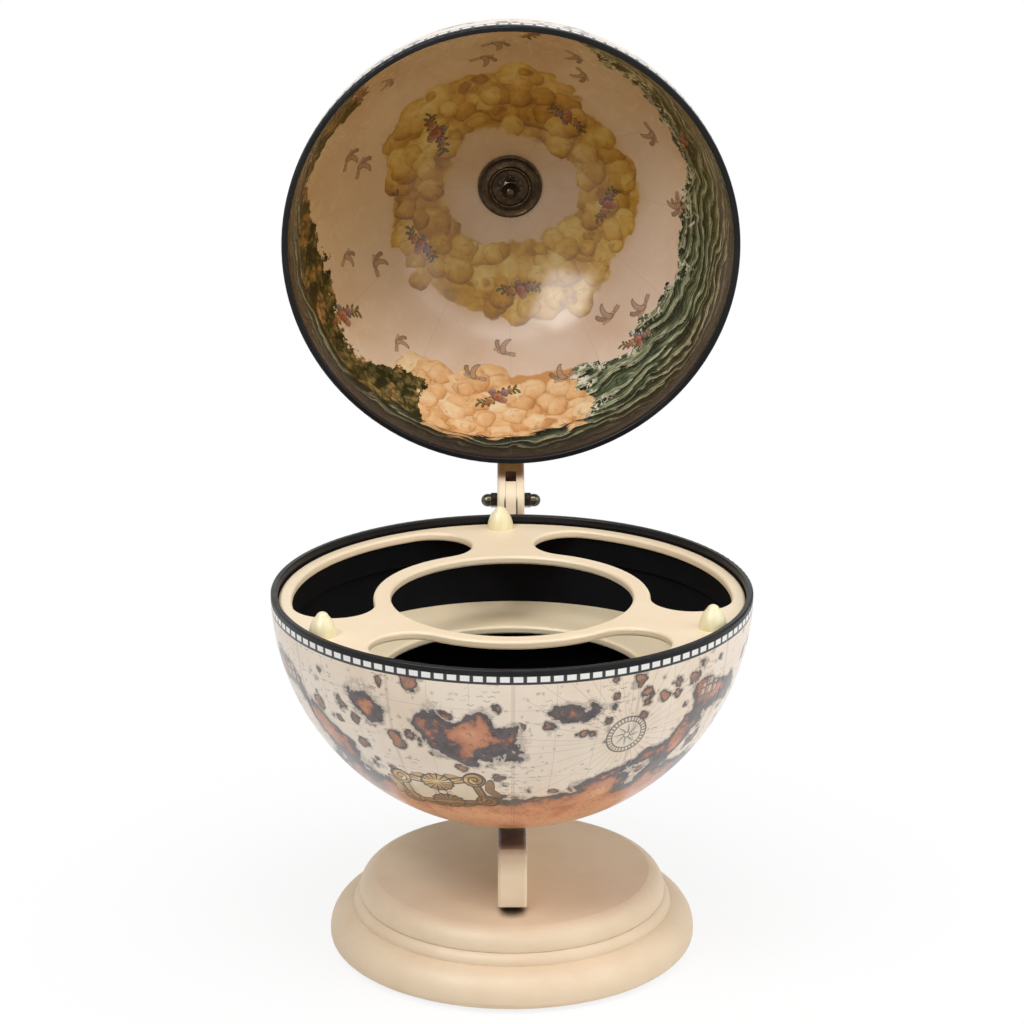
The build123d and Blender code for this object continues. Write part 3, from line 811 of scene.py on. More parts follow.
class Currents(Effect):
    """Strands that flow round the globe: Band climbs from 0 to 1 across each strand, and Fine is a thin streak."""

    takes = {"Chart": (0.0, 0.0, 0.0), "Down": 0.0, "Pitch": 9.0}
    gives = ("Band", "Fine")

    @classmethod
    def draw(cls, graph: Graph, given: Signals) -> Signals:
        """Strands repeat at the pitch down the wall; slow noise bends them, and finer noise frays them.

        Args:
            graph: The group's graph.
            given: Chart, Down and Pitch, in millimetres.

        Returns:
            Band and Fine.
        """
        x, y, _ = graph.split(given["Chart"])
        out = graph.reach(x, y) + 1.0
        down = given["Down"] + graph.noise(given["Chart"], 46.0, 2.0) * 46.0
        slow = graph.noise(graph.join(x / out * 2.6, y / out * 2.6, down * 0.035), 1.0, 3.0, 0.5, 0.3)
        fine = graph.noise(graph.join(x / out * 7.0, y / out * 7.0, down * 0.75), 1.0, 4.0, 0.65)
        return {"Band": (down / given["Pitch"] + slow * 3.0 + (fine - 0.5) * 1.5).fract(), "Fine": fine}


class LeafDabs(Effect):
    """Foliage put on with a brush: a tone for each dab, and the dark between them."""

    takes = {"Chart": (0.0, 0.0, 0.0)}
    gives = ("Tone", "Gap")
    bough: ClassVar[float] = 19.0
    to_light: ClassVar[Triple] = (2.5, 3.5, 0.0)

    @classmethod
    def draw(cls, graph: Graph, given: Signals) -> Signals:
        """Warped cells of 4.2 mm, toned by chance and by which side of its bough each lies on.

        Args:
            graph: The group's graph.
            given: Chart, a place in millimetres.

        Returns:
            Tone and Gap.
        """
        place = graph.warped(given["Chart"], 8.0, 3.4)
        dabs = graph.cells(place, 4.2)
        part, _, _ = graph.split(dabs["Color"])
        lit = graph.cells(graph.vector("ADD", place, cls.to_light), cls.bough)["Distance"]
        slope = lit - graph.cells(place, cls.bough)["Distance"]
        tone = part * 0.35 + (slope * 2.4 + 0.4) * 0.65
        return {"Tone": tone, "Gap": dabs["Distance"].rise(0.42, 0.75)}


class Bouquet(Effect):
    """A spray 30 mm long: blossoms gathered on a bent stem between small leaves."""

    takes = {"U": 0.0, "V": 0.0}
    gives = ("Colour", "Mask")
    sway: ClassVar[float] = 2.6
    wave: ClassVar[float] = 6.0
    leaf_pitch: ClassVar[float] = 1.65
    blossoms: ClassVar[tuple[tuple[float, float, float, str, str], ...]] = (
        (-5.4, 2.0, 2.7, "6a4a52", "a88791"), (5.2, -1.6, 2.9, "8f5a2f", "d3a064"),
        (-2.6, -3.6, 2.6, "94503c", "cf9277"), (1.8, 4.0, 2.5, "5d4c5e", "9d8c9b"),
        (0.0, 0.2, 3.7, "84382b", "cb8468"), (8.8, -3.4, 1.6, "84382b", "b9755d"),
        (-9.2, 2.8, 1.7, "8f5a2f", "c79a64"),
    )

    @classmethod
    def draw(cls, graph: Graph, given: Signals) -> Signals:
        """The stem is v = -sway sin(u / wave), a leaf is an oval, and a blossom is frilled, with darker rings.

        Args:
            graph: The group's graph.
            given: U and V, in millimetres.

        Returns:
            Colour and Mask.
        """
        u, v, _ = graph.split(graph.warped(graph.join(given["U"], given["V"]), 4.0, 0.7))
        stem = (v + (u / cls.wave).sine() * cls.sway).line(0.8) * abs(u).fall(13.0, 14.0)
        colour, mask = graph.mix(0.0, "4a3a24", "4a3a24"), stem
        for at in np.arange(-8.0, 8.5) * cls.leaf_pitch:
            middle = float(at), float(-cls.sway * np.sin(at / cls.wave))
            side = 1.0 if round(at / cls.leaf_pitch) % 2 else -1.0
            bent = -0.43 * float(np.cos(at / cls.wave)) + side * (1.0 if at >= 0.0 else 2.1)
            tip = middle[0] + 2.0 * np.cos(bent), middle[1] + 2.0 * np.sin(bent)
            leaf = graph.oval(u, v, tip, (2.5, 1.0), bent)
            tone = graph.mix(leaf.rise(0.3, 0.9), "2e2c18", "6a6236")
            colour, mask = graph.mix(leaf.rise(0.0, 0.3), colour, tone), mask.most(leaf.rise(0.0, 0.3))
        for middle_u, middle_v, size, deep, pale in cls.blossoms:
            across, up = u - middle_u, v - middle_v
            out = graph.reach(across, up) / size
            turn = graph.angle(up, across) / TURN
            frilled = out - (turn * 5.0 + middle_u).zigzag() * 0.24
            shown = frilled.fall(0.84, 1.0)
            light = (out * 1.6 - turn + middle_v).fract() * 0.45 + (up - across).rise(-size, size) * 0.55
            dark = frilled.rise(0.7, 0.86).most(out.fall(0.1, 0.25)) * 0.7
            petal = graph.mix(dark, graph.mix(light, deep, pale), "3a231b")
            colour, mask = graph.mix(shown, colour, petal), mask.most(shown)
        return {"Colour": colour, "Mask": mask}


class SmallBird(Effect):
    """A flying dove, 18 mm long: Mask is 1 on it, and Tone runs from its dark edge to its pale feathers."""

    takes = {"U": 0.0, "V": 0.0}
    gives = ("Mask", "Tone")
    far_wing: ClassVar[Oval] = ((2.2, 4.6), (3.4, 6.4), -0.45)
    behind_far: ClassVar[Oval] = ((-1.6, 5.6), (3.4, 6.2), -0.4)
    near_wing: ClassVar[Oval] = ((-2.6, 4.6), (4.4, 7.4), 0.5)
    behind_near: ClassVar[Oval] = ((-7.4, 4.8), (4.2, 6.8), 0.55)
    tail: ClassVar[Oval] = ((-7.0, -1.8), (4.0, 2.0), 0.2)
    behind_tail: ClassVar[Oval] = ((-12.0, -2.6), (2.6, 1.6), 0.2)
    body: ClassVar[Oval] = ((0.0, 0.0), (5.4, 2.2), 0.25)
    head: ClassVar[Oval] = ((5.2, 2.0), (1.8, 1.5), 0.2)

    @classmethod
    def draw(cls, graph: Graph, given: Signals) -> Signals:
        """Every part is an oval, each wing and the tail less a second one behind it, and feathers rule them.

        Args:
            graph: The group's graph.
            given: U and V, in millimetres.

        Returns:
            Mask and Tone.
        """
        u, v, _ = graph.split(graph.warped(graph.join(given["U"], given["V"]), 3.0, 0.5))
        far = graph.oval(u, v, *cls.far_wing).least(-graph.oval(u, v, *cls.behind_far))
        near = graph.oval(u, v, *cls.near_wing).least(-graph.oval(u, v, *cls.behind_near))
        tail = graph.oval(u, v, *cls.tail).least(-graph.oval(u, v, *cls.behind_tail))
        body, head = graph.oval(u, v, *cls.body), graph.oval(u, v, *cls.head)
        feathers = ((u * 0.6 - v * 0.8) / 1.7).zigzag().rise(0.2, 0.5)
        mask, tone = u * 0.0, u * 0.0
        for part, pale in ((far, 0.45), (tail, 0.8), (body, 1.0), (head, 1.0), (near, 0.85)):
            shown = part.rise(0.0, 0.2)
            tone = tone * (1.0 - shown) + part.rise(0.12, 0.5) * (0.55 + feathers * 0.45) * pale * shown
            mask = mask.most(shown)
        return {"Mask": mask, "Tone": tone}


class TurnedMetal(Effect):
    """Fine tool marks round an axis and the tarnish over them. Out is the way out from the axis, in metres."""

    takes = {"Place": (0.0, 0.0, 0.0), "Out": 0.0}
    gives = ("Height", "Tarnish")

    @classmethod
    def draw(cls, graph: Graph, given: Signals) -> Signals:
        """Noise along the way out alone for the marks, and cloudy noise for the tarnish.

        Args:
            graph: The group's graph.
            given: Place and Out, in metres.

        Returns:
            Height and Tarnish.
        """
        marks = graph.noise(graph.join(given["Out"], 0.0), 0.00035, 3.0, 0.7)
        pits = graph.noise(given["Place"], 0.0006, 2.0)
        cloud = graph.noise(given["Place"], 0.006, 5.0, 0.65, 0.3)
        return {"Height": marks * 0.6 + pits * 0.4, "Tarnish": cloud.rise(0.35, 0.68)}


# ---------------------------------------------------------------- Finishes
class Gloss(Enum):
    """How shiny a coat is: its roughness."""

    POLISHED = 0.13
    LACQUER = 0.24
    SATIN = 0.4
    SOFT = 0.55
    DULL = 0.85


@dataclass(frozen=True)
class Finish:
    """What every finish shares: a name, a gloss, and how its material is made."""

    name: str = "plain"
    gloss: Gloss = Gloss.SATIN

    def looks(self, graph: Graph) -> dict[str, Feed]:
        """Draw the finish's nodes.

        Args:
            graph: The material's graph.

        Returns:
            What the Principled shader's inputs get, by name.
        """
        raise NotImplementedError

    def material(self) -> bpy.types.Material:
        """Make the finish's material.

        Returns:
            The material.
        """
        material = bpy.data.materials.new(self.name)
        material.use_nodes = True
        graph = Graph(material.node_tree)
        shader = material.node_tree.nodes["Principled BSDF"]
        for name, value in self.looks(graph).items():
            graph.feed(shader.inputs[name], value)
        return material


@dataclass(frozen=True)
class StainAndPaintedShade:
    """Painted shade: a dark colour laid on the paint where shade falls, in hollows and under other parts.

    It fades between two reaches from its middle. It lies on faces that look its way, as far across from the part's
    middle plane as its half width, which ends softly. Lengths are in metres.
    """

    middle: Triple
    reach: Pair
    facing: Triple
    across: float = 1.0
    soft: float = 0.00005
    strength: float = 1.0
    tone: str = "482810"

    def share(self, graph: Graph, place: Signal) -> Signal:
        """How much of it lies at a place.

        Args:
            graph: The material's graph.
            place: The place in metres.

        Returns:
            Its strength inside the first reach, and 0 past the second.
        """
        arm = graph.vector("SUBTRACT", place, self.middle)
        away = graph.math("SQRT", graph.dot(arm, arm))
        x, _, _ = graph.split(place)
        looks = graph.dot(graph.normal(), self.facing).rise(0.2, 0.6)
        return away.fall(*self.reach) * (abs(x) - self.across).fall(0.0, self.soft) * looks * self.strength


@dataclass(frozen=True)
class CreamPaint(Finish):
    """Cream paint, rubbed back to a satin."""

    name: str = "cream_paint"
    coat: str = "f7e3c3"
    thick: str = "f3ddbc"
    primer: str = "fff3dc"
    corner_wax_and_shade: str = "b08d66"
    painted_shades: tuple[StainAndPaintedShade, ...] = ()

    def looks(self, graph: Graph) -> dict[str, Feed]:
        """Mottled colour, wax, dust and painted shade in the corners, painted shade where shade falls, pale rubbed
        edges, and a fine peel.

        Args:
            graph: The material's graph.

        Returns:
            What the shader's inputs get, by name.
        """
        place = graph.place()
        height, mottle = PaintFilm.lay(graph, Place=place)
        colour = graph.mix(mottle.rise(0.3, 0.7), self.coat, self.thick)
        # Corners that the occlusion finds get the wax and dust colour, which is also painted shade there.
        (dust_and_shade,) = CornerDustAndShade.lay(graph, Place=place, Reach=0.005)
        (worn,) = EdgeWear.lay(graph, Place=place, Width=0.0012)
        colour = graph.mix(dust_and_shade * 0.5, colour, self.corner_wax_and_shade)
        colour = graph.mix(worn * 0.45, colour, self.primer)
        # Painted shade: each one darkens the colour where shade falls, broken up a little by noise.
        for stain_and_painted_shade in self.painted_shades:
            blotch = graph.noise(place, 0.02, 4.0, 0.6).rise(0.2, 0.6) * 0.2 + 0.8
            colour = graph.mix(stain_and_painted_shade.share(graph, place) * blotch, colour, stain_and_painted_shade.tone)
        return {
            "Base Color": colour,
            "Roughness": mottle * 0.16 + self.gloss.value - 0.06 + dust_and_shade * 0.2,
            "Normal": graph.bump(height, 0.00007),
            "Coat Weight": 0.12,
            "Coat Roughness": 0.3,
        }


@dataclass(frozen=True)
class BlackLacquer(Finish):
    """Black lacquer on pressed board."""

    name: str = "black_lacquer"
    gloss: Gloss = Gloss.SATIN
    coat: str = "0e0e10"
    dusty: str = "1b1a1c"
    bare: str = "5b4a3c"
    shine: float = 0.2

    def looks(self, graph: Graph) -> dict[str, Feed]:
        """Near black with a dusty bloom, brown where the edges are rubbed, and a slight wave.

        Args:
            graph: The material's graph.

        Returns:
            What the shader's inputs get, by name.
        """
        place = graph.place()
        height, _ = PaintFilm.lay(graph, Place=place)
        (worn,) = EdgeWear.lay(graph, Place=place, Width=0.0008)
        bloom = graph.noise(place, 0.04, 5.0, 0.6).rise(0.42, 0.75)
        colour = graph.mix(bloom, self.coat, self.dusty)
        return {
            "Base Color": graph.mix(worn * 0.25, colour, self.bare),
            "Roughness": self.gloss.value - 0.06 + bloom * 0.18,
            "Normal": graph.bump(height, 0.00009),
            "Specular IOR Level": self.shine,
        }


@dataclass(frozen=True)
class GoredPrint(Finish):
    """What both prints share: paper laid on in gores round the globe's axis, under lacquer."""

    gloss: Gloss = Gloss.LACQUER
    gores: int = GORES

    def off_seam(self, run: Signal, out: Signal) -> Signal:
        """How far places are from the nearest seam between two gores.

        Args:
            run: 0 to 1 round the axis.
            out: Millimetres from the axis.

        Returns:
            Millimetres along the parallel, less than 0 on one side.
        """
        step = (run * self.gores + 0.5).fract() - 0.5
        return step * out * (TURN / self.gores)


@dataclass(frozen=True)
class ChartPrint(GoredPrint):
    """The outside: an invented old sea chart on lacquered paper."""

    name: str = "chart_print"
    sheet: str = "f6e6d3"
    browned: str = "e5ceb2"
    sepia: str = "6f5848"
    slate: str = "3a3538"
    umber: str = "604739"
    salmon: str = "e3a077"
    rust: str = "c4784f"
    ochre: str = "d9b06b"
    parallels: float = 36.0
    line: float = 0.28
    shoals: tuple[Triple, ...] = ((20.0, 3.0, 0.16), (12.0, 17.0, 0.42), (7.5, 29.0, 0.72))
    rose: Triple = (0.46, 0.34, 0.0)
    cartouche: Triple = (1.7, 0.66, 0.14)
    ship: Triple = (0.9, 0.24, -0.05)
    first_motif: float = 0.5585
    lid_slip: float = 0.9

    def ground(self, graph: Graph, chart: Signal, gore: Signal) -> tuple[Signal, Signal]:
        """The bare sheet.

        Args:
            graph: The material's graph.
            chart: Place in millimetres.
            gore: A number for each gore.

        Returns:
            Its colour, and its fibre for the bump.
        """
        stain_and_painted_shade, fibre, foxing = AgedPaper.lay(graph, Chart=chart)
        colour = graph.mix(stain_and_painted_shade * 0.75, self.sheet, self.browned)
        colour = graph.mix(graph.chance(graph.join(gore, 2.0)) * 0.16, colour, self.browned)
        colour = graph.mix((fibre - 0.5).rise(0.0, 0.5) * 0.12, colour, self.sepia)
        return graph.mix(foxing * 0.3, colour, self.umber), fibre

    @staticmethod
    def islets(
        graph: Graph, colour: Signal, chart: Signal, sea: Signal, size: float, seed: float, bare: float
    ) -> Signal:
        """Small ragged islets in shoals.

        Args:
            graph: The material's graph.
            colour: What is printed so far.
            chart: Place in millimetres.
            sea: 1 well out at sea.
            size: How far apart they lie, in millimetres.
            seed: Moves them.
            bare: The share of places left bare.

        Returns:
            The colour.
        """
        place = graph.vector("ADD", graph.warped(chart, size * 0.3, size * 0.17), (seed, seed * 2.0, 0.0))
        cells = graph.cells(graph.warped(place, size * 0.09, size * 0.05), size)
        chance, other, _ = graph.split(cells["Color"])
        waters = graph.noise(graph.vector("ADD", chart, (0.0, 0.0, seed)), 52.0, 2.0)
        shoal = waters.rise(0.34 + bare * 0.3, 0.44 + bare * 0.3)
        reach = (other * 0.24 + 0.16) * chance.above(bare) * shoal
        inside = (reach - cells["Distance"]) * size
        body = graph.mix(graph.noise(chart, size * 0.3, 2.0).rise(0.4, 0.6), "6d4d3d", "ab6f4f")
        ink = graph.mix(inside.fall(0.8, 2.1), body, "2d2625")
        halo = inside.rise(-1.8, 0.0) * 0.45
        return graph.mix((inside.rise(0.0, 0.25) * 0.92).most(halo) * sea, colour, ink)

    def coasts(
        self, graph: Graph, colour: Signal, chart: Signal, east: Signal, north: Signal
    ) -> tuple[Signal, Signal]:
        """Lands with broad dark shores, and islets.

        Args:
            graph: The material's graph.
            colour: What is printed so far.
            chart: Place in millimetres.
            east: Millimetres round the globe.
            north: Millimetres from the equator.

        Returns:
            The colour, and how many millimetres inside a shore each point is.
        """
        ragged = (graph.noise(chart, 13.0, 4.0, 0.62) - 0.5) * 20.0 + (graph.noise(chart, 3.0, 3.0, 0.6) - 0.5) * 5.5
        inside = graph.level("land") + ragged + (graph.noise(chart, 34.0, 2.0, 0.5, 0.6) - 0.5) * 44.0
        tone = graph.noise(chart, 24.0, 4.0, 0.6, 0.5)
        inland = graph.ramp(tone, (0.3, self.rust), (0.46, self.salmon), (0.6, "e9ab7e"), (0.74, "c77f58"))
        hatch = (north * 5.2 + (graph.noise(chart, 3.0) - 0.5) * 3.0).sine() * 0.5 + 0.5
        murk = graph.noise(chart, 8.0, 4.0, 0.6, 0.3)
        smudge = graph.ramp(murk, (0.3, "252124"), (0.45, self.slate), (0.58, "51474c"), (0.7, self.umber))
        smudge = graph.mix(hatch * 0.25, smudge, "9a8b80")
        past_shore = inside - (5.8 + (graph.noise(chart, 9.0, 3.0, 0.6) - 0.42) * 24.0)
        inland = graph.mix(past_shore.fall(4.0, 30.0) * 0.6, inland, "ab6549")
        inland = graph.mix(past_shore.fall(-2.0, 7.0) * 0.65, inland, "7d4c3a")
        sea_hatch = hatch.rise(0.4, 0.8) * inside.rise(-7.5, -0.4) * graph.noise(chart, 6.0).rise(0.4, 0.6)
        colour = graph.mix(sea_hatch * 0.5, colour, self.sepia)
        colour = graph.mix(inside.rise(-5.5, 0.5) * 0.4, colour, self.slate)
        open_sea = inside.fall(-4.0, -1.5)
        for size, seed, bare in self.shoals:
            colour = self.islets(graph, colour, chart, open_sea, size, seed, bare)
        land = graph.mix(past_shore.fall(-2.4, 2.2), inland, smudge)
        colour = graph.mix(inside.rise(-0.25, 0.35), colour, land)
        (hills,) = HillMarks.lay(graph, East=east, North=north)
        return graph.mix(hills * inside.rise(9.0, 11.0) * 0.6, colour, "6b3f2c"), inside

    def motifs(self, graph: Graph, colour: Signal, chart: Signal, sea: Signal) -> Signal:
        """Wind roses, cartouches and ships, each three times round each half.

        Args:
            graph: The material's graph.
            colour: What is printed so far.
            chart: Place in millimetres.
            sea: 1 at sea.

        Returns:
            The colour.
        """
        third = TURN / 3.0
        x, y, z = graph.split(chart)
        start = z.above(0.0) * self.lid_slip + self.first_motif
        sector = ((graph.angle(y, x) - start) / third).floor()
        x, y, z = graph.split(graph.turned(chart, -(sector * third + start)))
        folded = graph.join(x, y, -abs(z))
        u, v, near = self.tangent(graph, folded, *self.rose)
        ink, fill = WindRose.lay(graph, U=u, V=v)
        colour = graph.mix(fill * near * 0.85, colour, "eadcc8")
        colour = graph.mix(ink * near * 0.85, colour, "54483f")
        far = graph.reach(u, v)
        rays = (graph.angle(v, u) * (WindRose.petals / TURN) + 0.5).zigzag() * far * 0.2
        rhumb = rays.line(0.4) * far.rise(15.0, 17.0) * far.fall(60.0, 120.0) * sea
        colour = graph.mix(rhumb * 0.3, colour, self.sepia)
        u, v, near = self.tangent(graph, folded, *self.cartouche)
        ink, strap, panel, light = Cartouche.lay(graph, U=u, V=v)
        dappled = light * 0.7 + graph.noise(chart, 5.0, 3.0) * 0.3
        gilt = graph.ramp(dappled, (0.2, "80592c"), (0.45, "b78c4e"), (0.62, self.ochre), (0.85, "efd9a6"))
        colour = graph.mix(panel * near * 0.92, colour, "e8d5b8")
        colour = graph.mix(strap * near * 0.95, colour, gilt)
        colour = graph.mix(ink * near * 0.95, colour, "33271e")
        u, v, near = self.tangent(graph, folded, *self.ship)
        ink, sail = SmallShip.lay(graph, U=u, V=v)
        colour = graph.mix(sail * near * 0.7, colour, "d9c3ad")
        return graph.mix(ink * near * 0.85, colour, "57483e")

    @staticmethod
    def tangent(graph: Graph, place: Signal, east: float, south: float, turn: float) -> tuple[Signal, Signal, Signal]:
        """Flat coordinates about a spot on the globe.

        Args:
            graph: The material's graph.
            place: Place in millimetres.
            east: The spot's longitude in radians.
            south: Its latitude south of the equator in radians.
            turn: How far the coordinates are turned, in radians.

        Returns:
            Millimetres along and across, and 1 where a place is over 90 mm out along the spot's own axis.
        """
        u, v, w = (graph.dot(place, tuple(map(float, axis))) for axis in flat_axes(east, -south, turn))
        return u, v, w.above(90.0)

    def looks(self, graph: Graph) -> dict[str, Feed]:
        """The print from the sheet up, then the seams, the scale round the mouth, and the lacquer.

        Args:
            graph: The material's graph.

        Returns:
            What the shader's inputs get, by name.
        """
        chart = graph.chart()
        x, y, z = graph.split(chart)
        out, drop = graph.reach(x, y), abs(z)
        run = graph.angle(y, x) / TURN + 0.5
        girth = TURN * OUTSIDE
        east, north = run * girth, graph.angle(drop, out) * OUTSIDE
        colour, fibre = self.ground(graph, chart, (run * self.gores).floor())
        (meridians,) = RuledLines.lay(graph, Run=run, Count=self.parallels, Length=out * TURN, Width=self.line)
        (parallels,) = RuledLines.lay(graph, Run=north / girth, Count=self.parallels, Length=girth, Width=self.line)
        colour = graph.mix(meridians.most(parallels) * 0.3, colour, self.sepia)
        (ticks,) = SeaTicks.lay(graph, East=east, North=north)
        colour = graph.mix(ticks * graph.noise(chart, 26.0).rise(0.48, 0.58) * 0.6, colour, "5d4b40")
        colour, inside = self.coasts(graph, colour, chart, east, north)
        colour = self.motifs(graph, colour, chart, inside.fall(-1.0, 0.0))
        beside = abs(abs(self.off_seam(run, out)) - 0.75)
        colour = graph.mix(beside.line(0.34) * 0.42, colour, self.sepia)
        black, white = RimScale.lay(graph, Run=run, Drop=drop)
        colour = graph.mix(black, colour, "1b1a1b")
        scuff = graph.noise(chart, 3.0, 5.0, 0.7).rise(0.5, 0.8)
        return {
            "Base Color": graph.mix(white, colour, "f2f0ec"),
            "Roughness": scuff * 0.14 + self.gloss.value + 0.04,
            "Normal": graph.bump(fibre * 0.3 + graph.noise(chart, 9.0, 3.0), 0.00006),
            "Coat Weight": 0.35,
            "Coat Roughness": 0.22,
        }


@dataclass(frozen=True)
class SkyPainting(GoredPrint):
    """The lid's inside: a painted sky with cloud banks, a running sea, trees, birds and bouquets."""

    name: str = "sky_painting"
    sky: str = "efd6c0"
    haze: str = "e2c0a4"
    seam: str = "8d7462"
    amber_tint: Triple = (0.76, 0.62, 0.3)
    heads: tuple[Pair, ...] = ((33.0, 3.0), (27.0, 41.0), (22.0, 83.0), (17.0, 127.0))
    flocks: tuple[tuple[float, float, float, float], ...] = ((7.0, 134.0, 22.0, 3.0), (11.0, 148.0, 30.0, 8.0))
    sprays: tuple[tuple[float, float, float, float], ...] = ((5.0, 88.0, 26.0, 21.0), (6.0, 176.0, 30.0, 5.0))

    def clouds(self, graph: Graph, colour: Signal, chart: Signal) -> Signal:
        """The golden ring of cloud and the peach bank.

        Args:
            graph: The material's graph.
            colour: What is painted so far.
            chart: Place in millimetres.

        Returns:
            The colour.
        """
        slow = graph.noise(chart, 40.0, 3.0, 0.5, 0.3)
        billow = graph.noise(chart, 16.0, 3.0, 0.5, 0.6)
        scallop = (graph.noise(chart, 11.0, 2.0) - 0.5) * 14.0
        ring_fill = (graph.level("ring") + scallop).rise(2.0, 6.0)
        bank_fill = (graph.level("bank") + scallop).rise(3.0, 6.0)
        under = graph.ramp(billow, (0.3, "a4762a"), (0.5, "c9993f"), (0.68, "dfb964"))
        colour = graph.mix(graph.level("ring").rise(-9.0, 5.0) * 0.35, colour, "d8b67c")
        colour = graph.mix(bank_fill, graph.mix(ring_fill, colour, under), "d69a61")
        gilding = ((0.1, "8a5d1c"), (0.32, "b9852d"), (0.52, "d3a548"), (0.74, "e7c673"), (0.95, "f3dea4"))
        for size, seed in self.heads:
            reach, light, rim, turn, down = Puffs.lay(graph, Chart=chart, Size=size, Seed=seed)
            shown = reach.rise(-0.3, 1.3)
            inner = (turn * 2.0 + 1.0).sine() * 4.0 + 46.0 + size * 0.36
            outer = (turn * 2.0 - 0.6).sine() * 7.0 + (turn * 5.0 + 2.0).sine() * 4.0 + 105.0 - size * 0.36
            gold = graph.mix(rim * 0.5, graph.ramp(light + (slow - 0.5) * 0.6, *gilding), "744c1c")
            colour = graph.mix(shown * (down - inner).least(outer - down).above(0.0), colour, gold)
            brink = (turn * 3.0).sine() * 10.0 + 160.0 + size * 0.3
            peach = graph.ramp(light, (0.05, "c07f45"), (0.3, "dea269"), (0.55, "efbf8a"), (0.85, "f8dfb6"))
            peach = graph.mix(rim * 0.5, peach, "95582e")
            inside = (down - brink).least((0.5 - abs(turn - 1.6)) * 120.0)
            colour = graph.mix(shown * inside.above(0.0), colour, peach)
        return colour

    @staticmethod
    def waters(graph: Graph, colour: Signal, chart: Signal, run: Signal, down: Signal) -> Signal:
        """The sea with its foam, and the dark streaked ground round the mouth.

        Args:
            graph: The material's graph.
            colour: What is painted so far.
            chart: Place in millimetres.
            run: 0 to 1 round the pole.
            down: Millimetres from the pole.

        Returns:
            The colour.
        """
        deeps = (
            (0.0, "171b12"), (0.28, "2b3626"), (0.5, "4b5a40"), (0.7, "7c8566"), (0.86, "bfc09d"), (0.97, "ece6c9"),
        )
        shades = (
            (0.0, "0b0e0c"), (0.34, "1c241d"), (0.54, "33402f"), (0.72, "56614b"), (0.86, "959070"), (0.97, "d6ccaa"),
        )
        band, fine = Currents.lay(graph, Chart=chart, Down=down, Pitch=10.5)
        band = band * (graph.noise(graph.join(run, down * 0.03), 0.035, 2.0) * 1.1 + 0.34).least(1.0)
        water = graph.mix(fine.rise(0.56, 0.7) * 0.45, graph.ramp(band, *deeps), "b9b68f")
        water = graph.mix(fine.fall(0.32, 0.44) * 0.5, water, "20251a")
        swell = (graph.noise(chart, 38.0, 2.0) - 0.5) * 56.0
        shore = graph.level("sea") + swell + (graph.noise(chart, 9.0, 3.0, 0.6) - 0.5) * 16.0
        foam = graph.noise(graph.warped(chart, 7.0, 5.0), 5.5, 4.0, 0.7).rise(0.5, 0.58) * shore.fall(4.0, 15.0)
        colour = graph.mix(shore.rise(-0.5, 0.6), colour, graph.mix(foam, water, "ece5cc"))
        band, fine = Currents.lay(graph, Chart=chart, Down=down * 1.15, Pitch=9.5)
        ground = graph.mix(fine.rise(0.54, 0.68) * 0.4, graph.ramp(band, *shades), "4f4a39")
        strip = graph.level("verge") + (0.5 - band) * 9.0 + (fine - 0.5) * 30.0
        colour = graph.mix(strip.rise(-0.8, 0.8), colour, ground)
        return graph.mix((down + fine * 26.0).rise(228.0, 252.0) * 0.94, colour, "12161a")

    @staticmethod
    def growth(graph: Graph, colour: Signal, chart: Signal) -> Signal:
        """Trees along one side.

        Args:
            graph: The material's graph.
            colour: What is painted so far.
            chart: Place in millimetres.

        Returns:
            The colour.
        """
        greens = (
            (0.1, "27240f"), (0.32, "484423"), (0.5, "70633a"), (0.66, "967a48"), (0.82, "b07a4c"), (0.95, "d3a876"),
        )
        tone, gap = LeafDabs.lay(graph, Chart=chart)
        leaves = graph.mix(gap * 0.65, graph.ramp(tone, *greens), "1d1f12")
        ragged = (graph.noise(chart, 9.0, 4.0, 0.7) - 0.5) * 34.0
        return graph.mix((graph.level("trees") + ragged).rise(-0.3, 0.5), colour, leaves)

    def ornaments(self, graph: Graph, colour: Signal, run: Signal, out: Signal, down: Signal) -> Signal:
        """Birds in the sky, and bouquets on the cloud and above the sea.

        Args:
            graph: The material's graph.
            colour: What is painted so far.
            run: 0 to 1 round the pole.
            out: Millimetres from the axis.
            down: Millimetres from the pole.

        Returns:
            The colour.
        """
        for row in self.flocks:
            u, v, size = self.strewn(graph, run, out, down, *row)
            bird, tone = SmallBird.lay(graph, U=u * (1.15 - size * 0.35), V=v * (1.15 - size * 0.35))
            colour = graph.mix(bird * 0.85, colour, graph.mix(tone, "6a4533", "d9b596"))
        for row in self.sprays:
            u, v, size = self.strewn(graph, run, out, down, *row)
            flowers, shown = Bouquet.lay(graph, U=u * (1.05 - size * 0.35), V=v * (1.05 - size * 0.35))
            colour = graph.mix(shown * 0.92, colour, flowers)
        return colour

    @staticmethod
    def strewn(
        graph: Graph, run: Signal, out: Signal, down: Signal, count: float, arc: float, spread: float, seed: float
    ) -> tuple[Signal, Signal, Signal]:
        """Flat coordinates about motifs strewn round a ring, each with its own slip and size.

        Args:
            graph: The material's graph.
            run: 0 to 1 round the pole.
            out: Millimetres from the axis.
            down: Millimetres from the pole.
            count: How many there are.
            arc: Millimetres from the pole to the ring.
            spread: How far they may slip up or down.
            seed: Picks how they slip.

        Returns:
            Millimetres across, millimetres up towards the pole, and a chance for the size.
        """
        step = run * count + seed * 0.37
        slide, drop, size = graph.split(graph.chances(graph.join(step.floor(), seed)))
        across = (step.fract() - 0.5 - (slide - 0.5) * 0.36) * out * (TURN / count)
        aside = graph.turned(graph.join(across, (drop - 0.5) * spread + arc - down), (size - 0.5) * 2.4)
        u, v, _ = graph.split(aside)
        return u, v, size

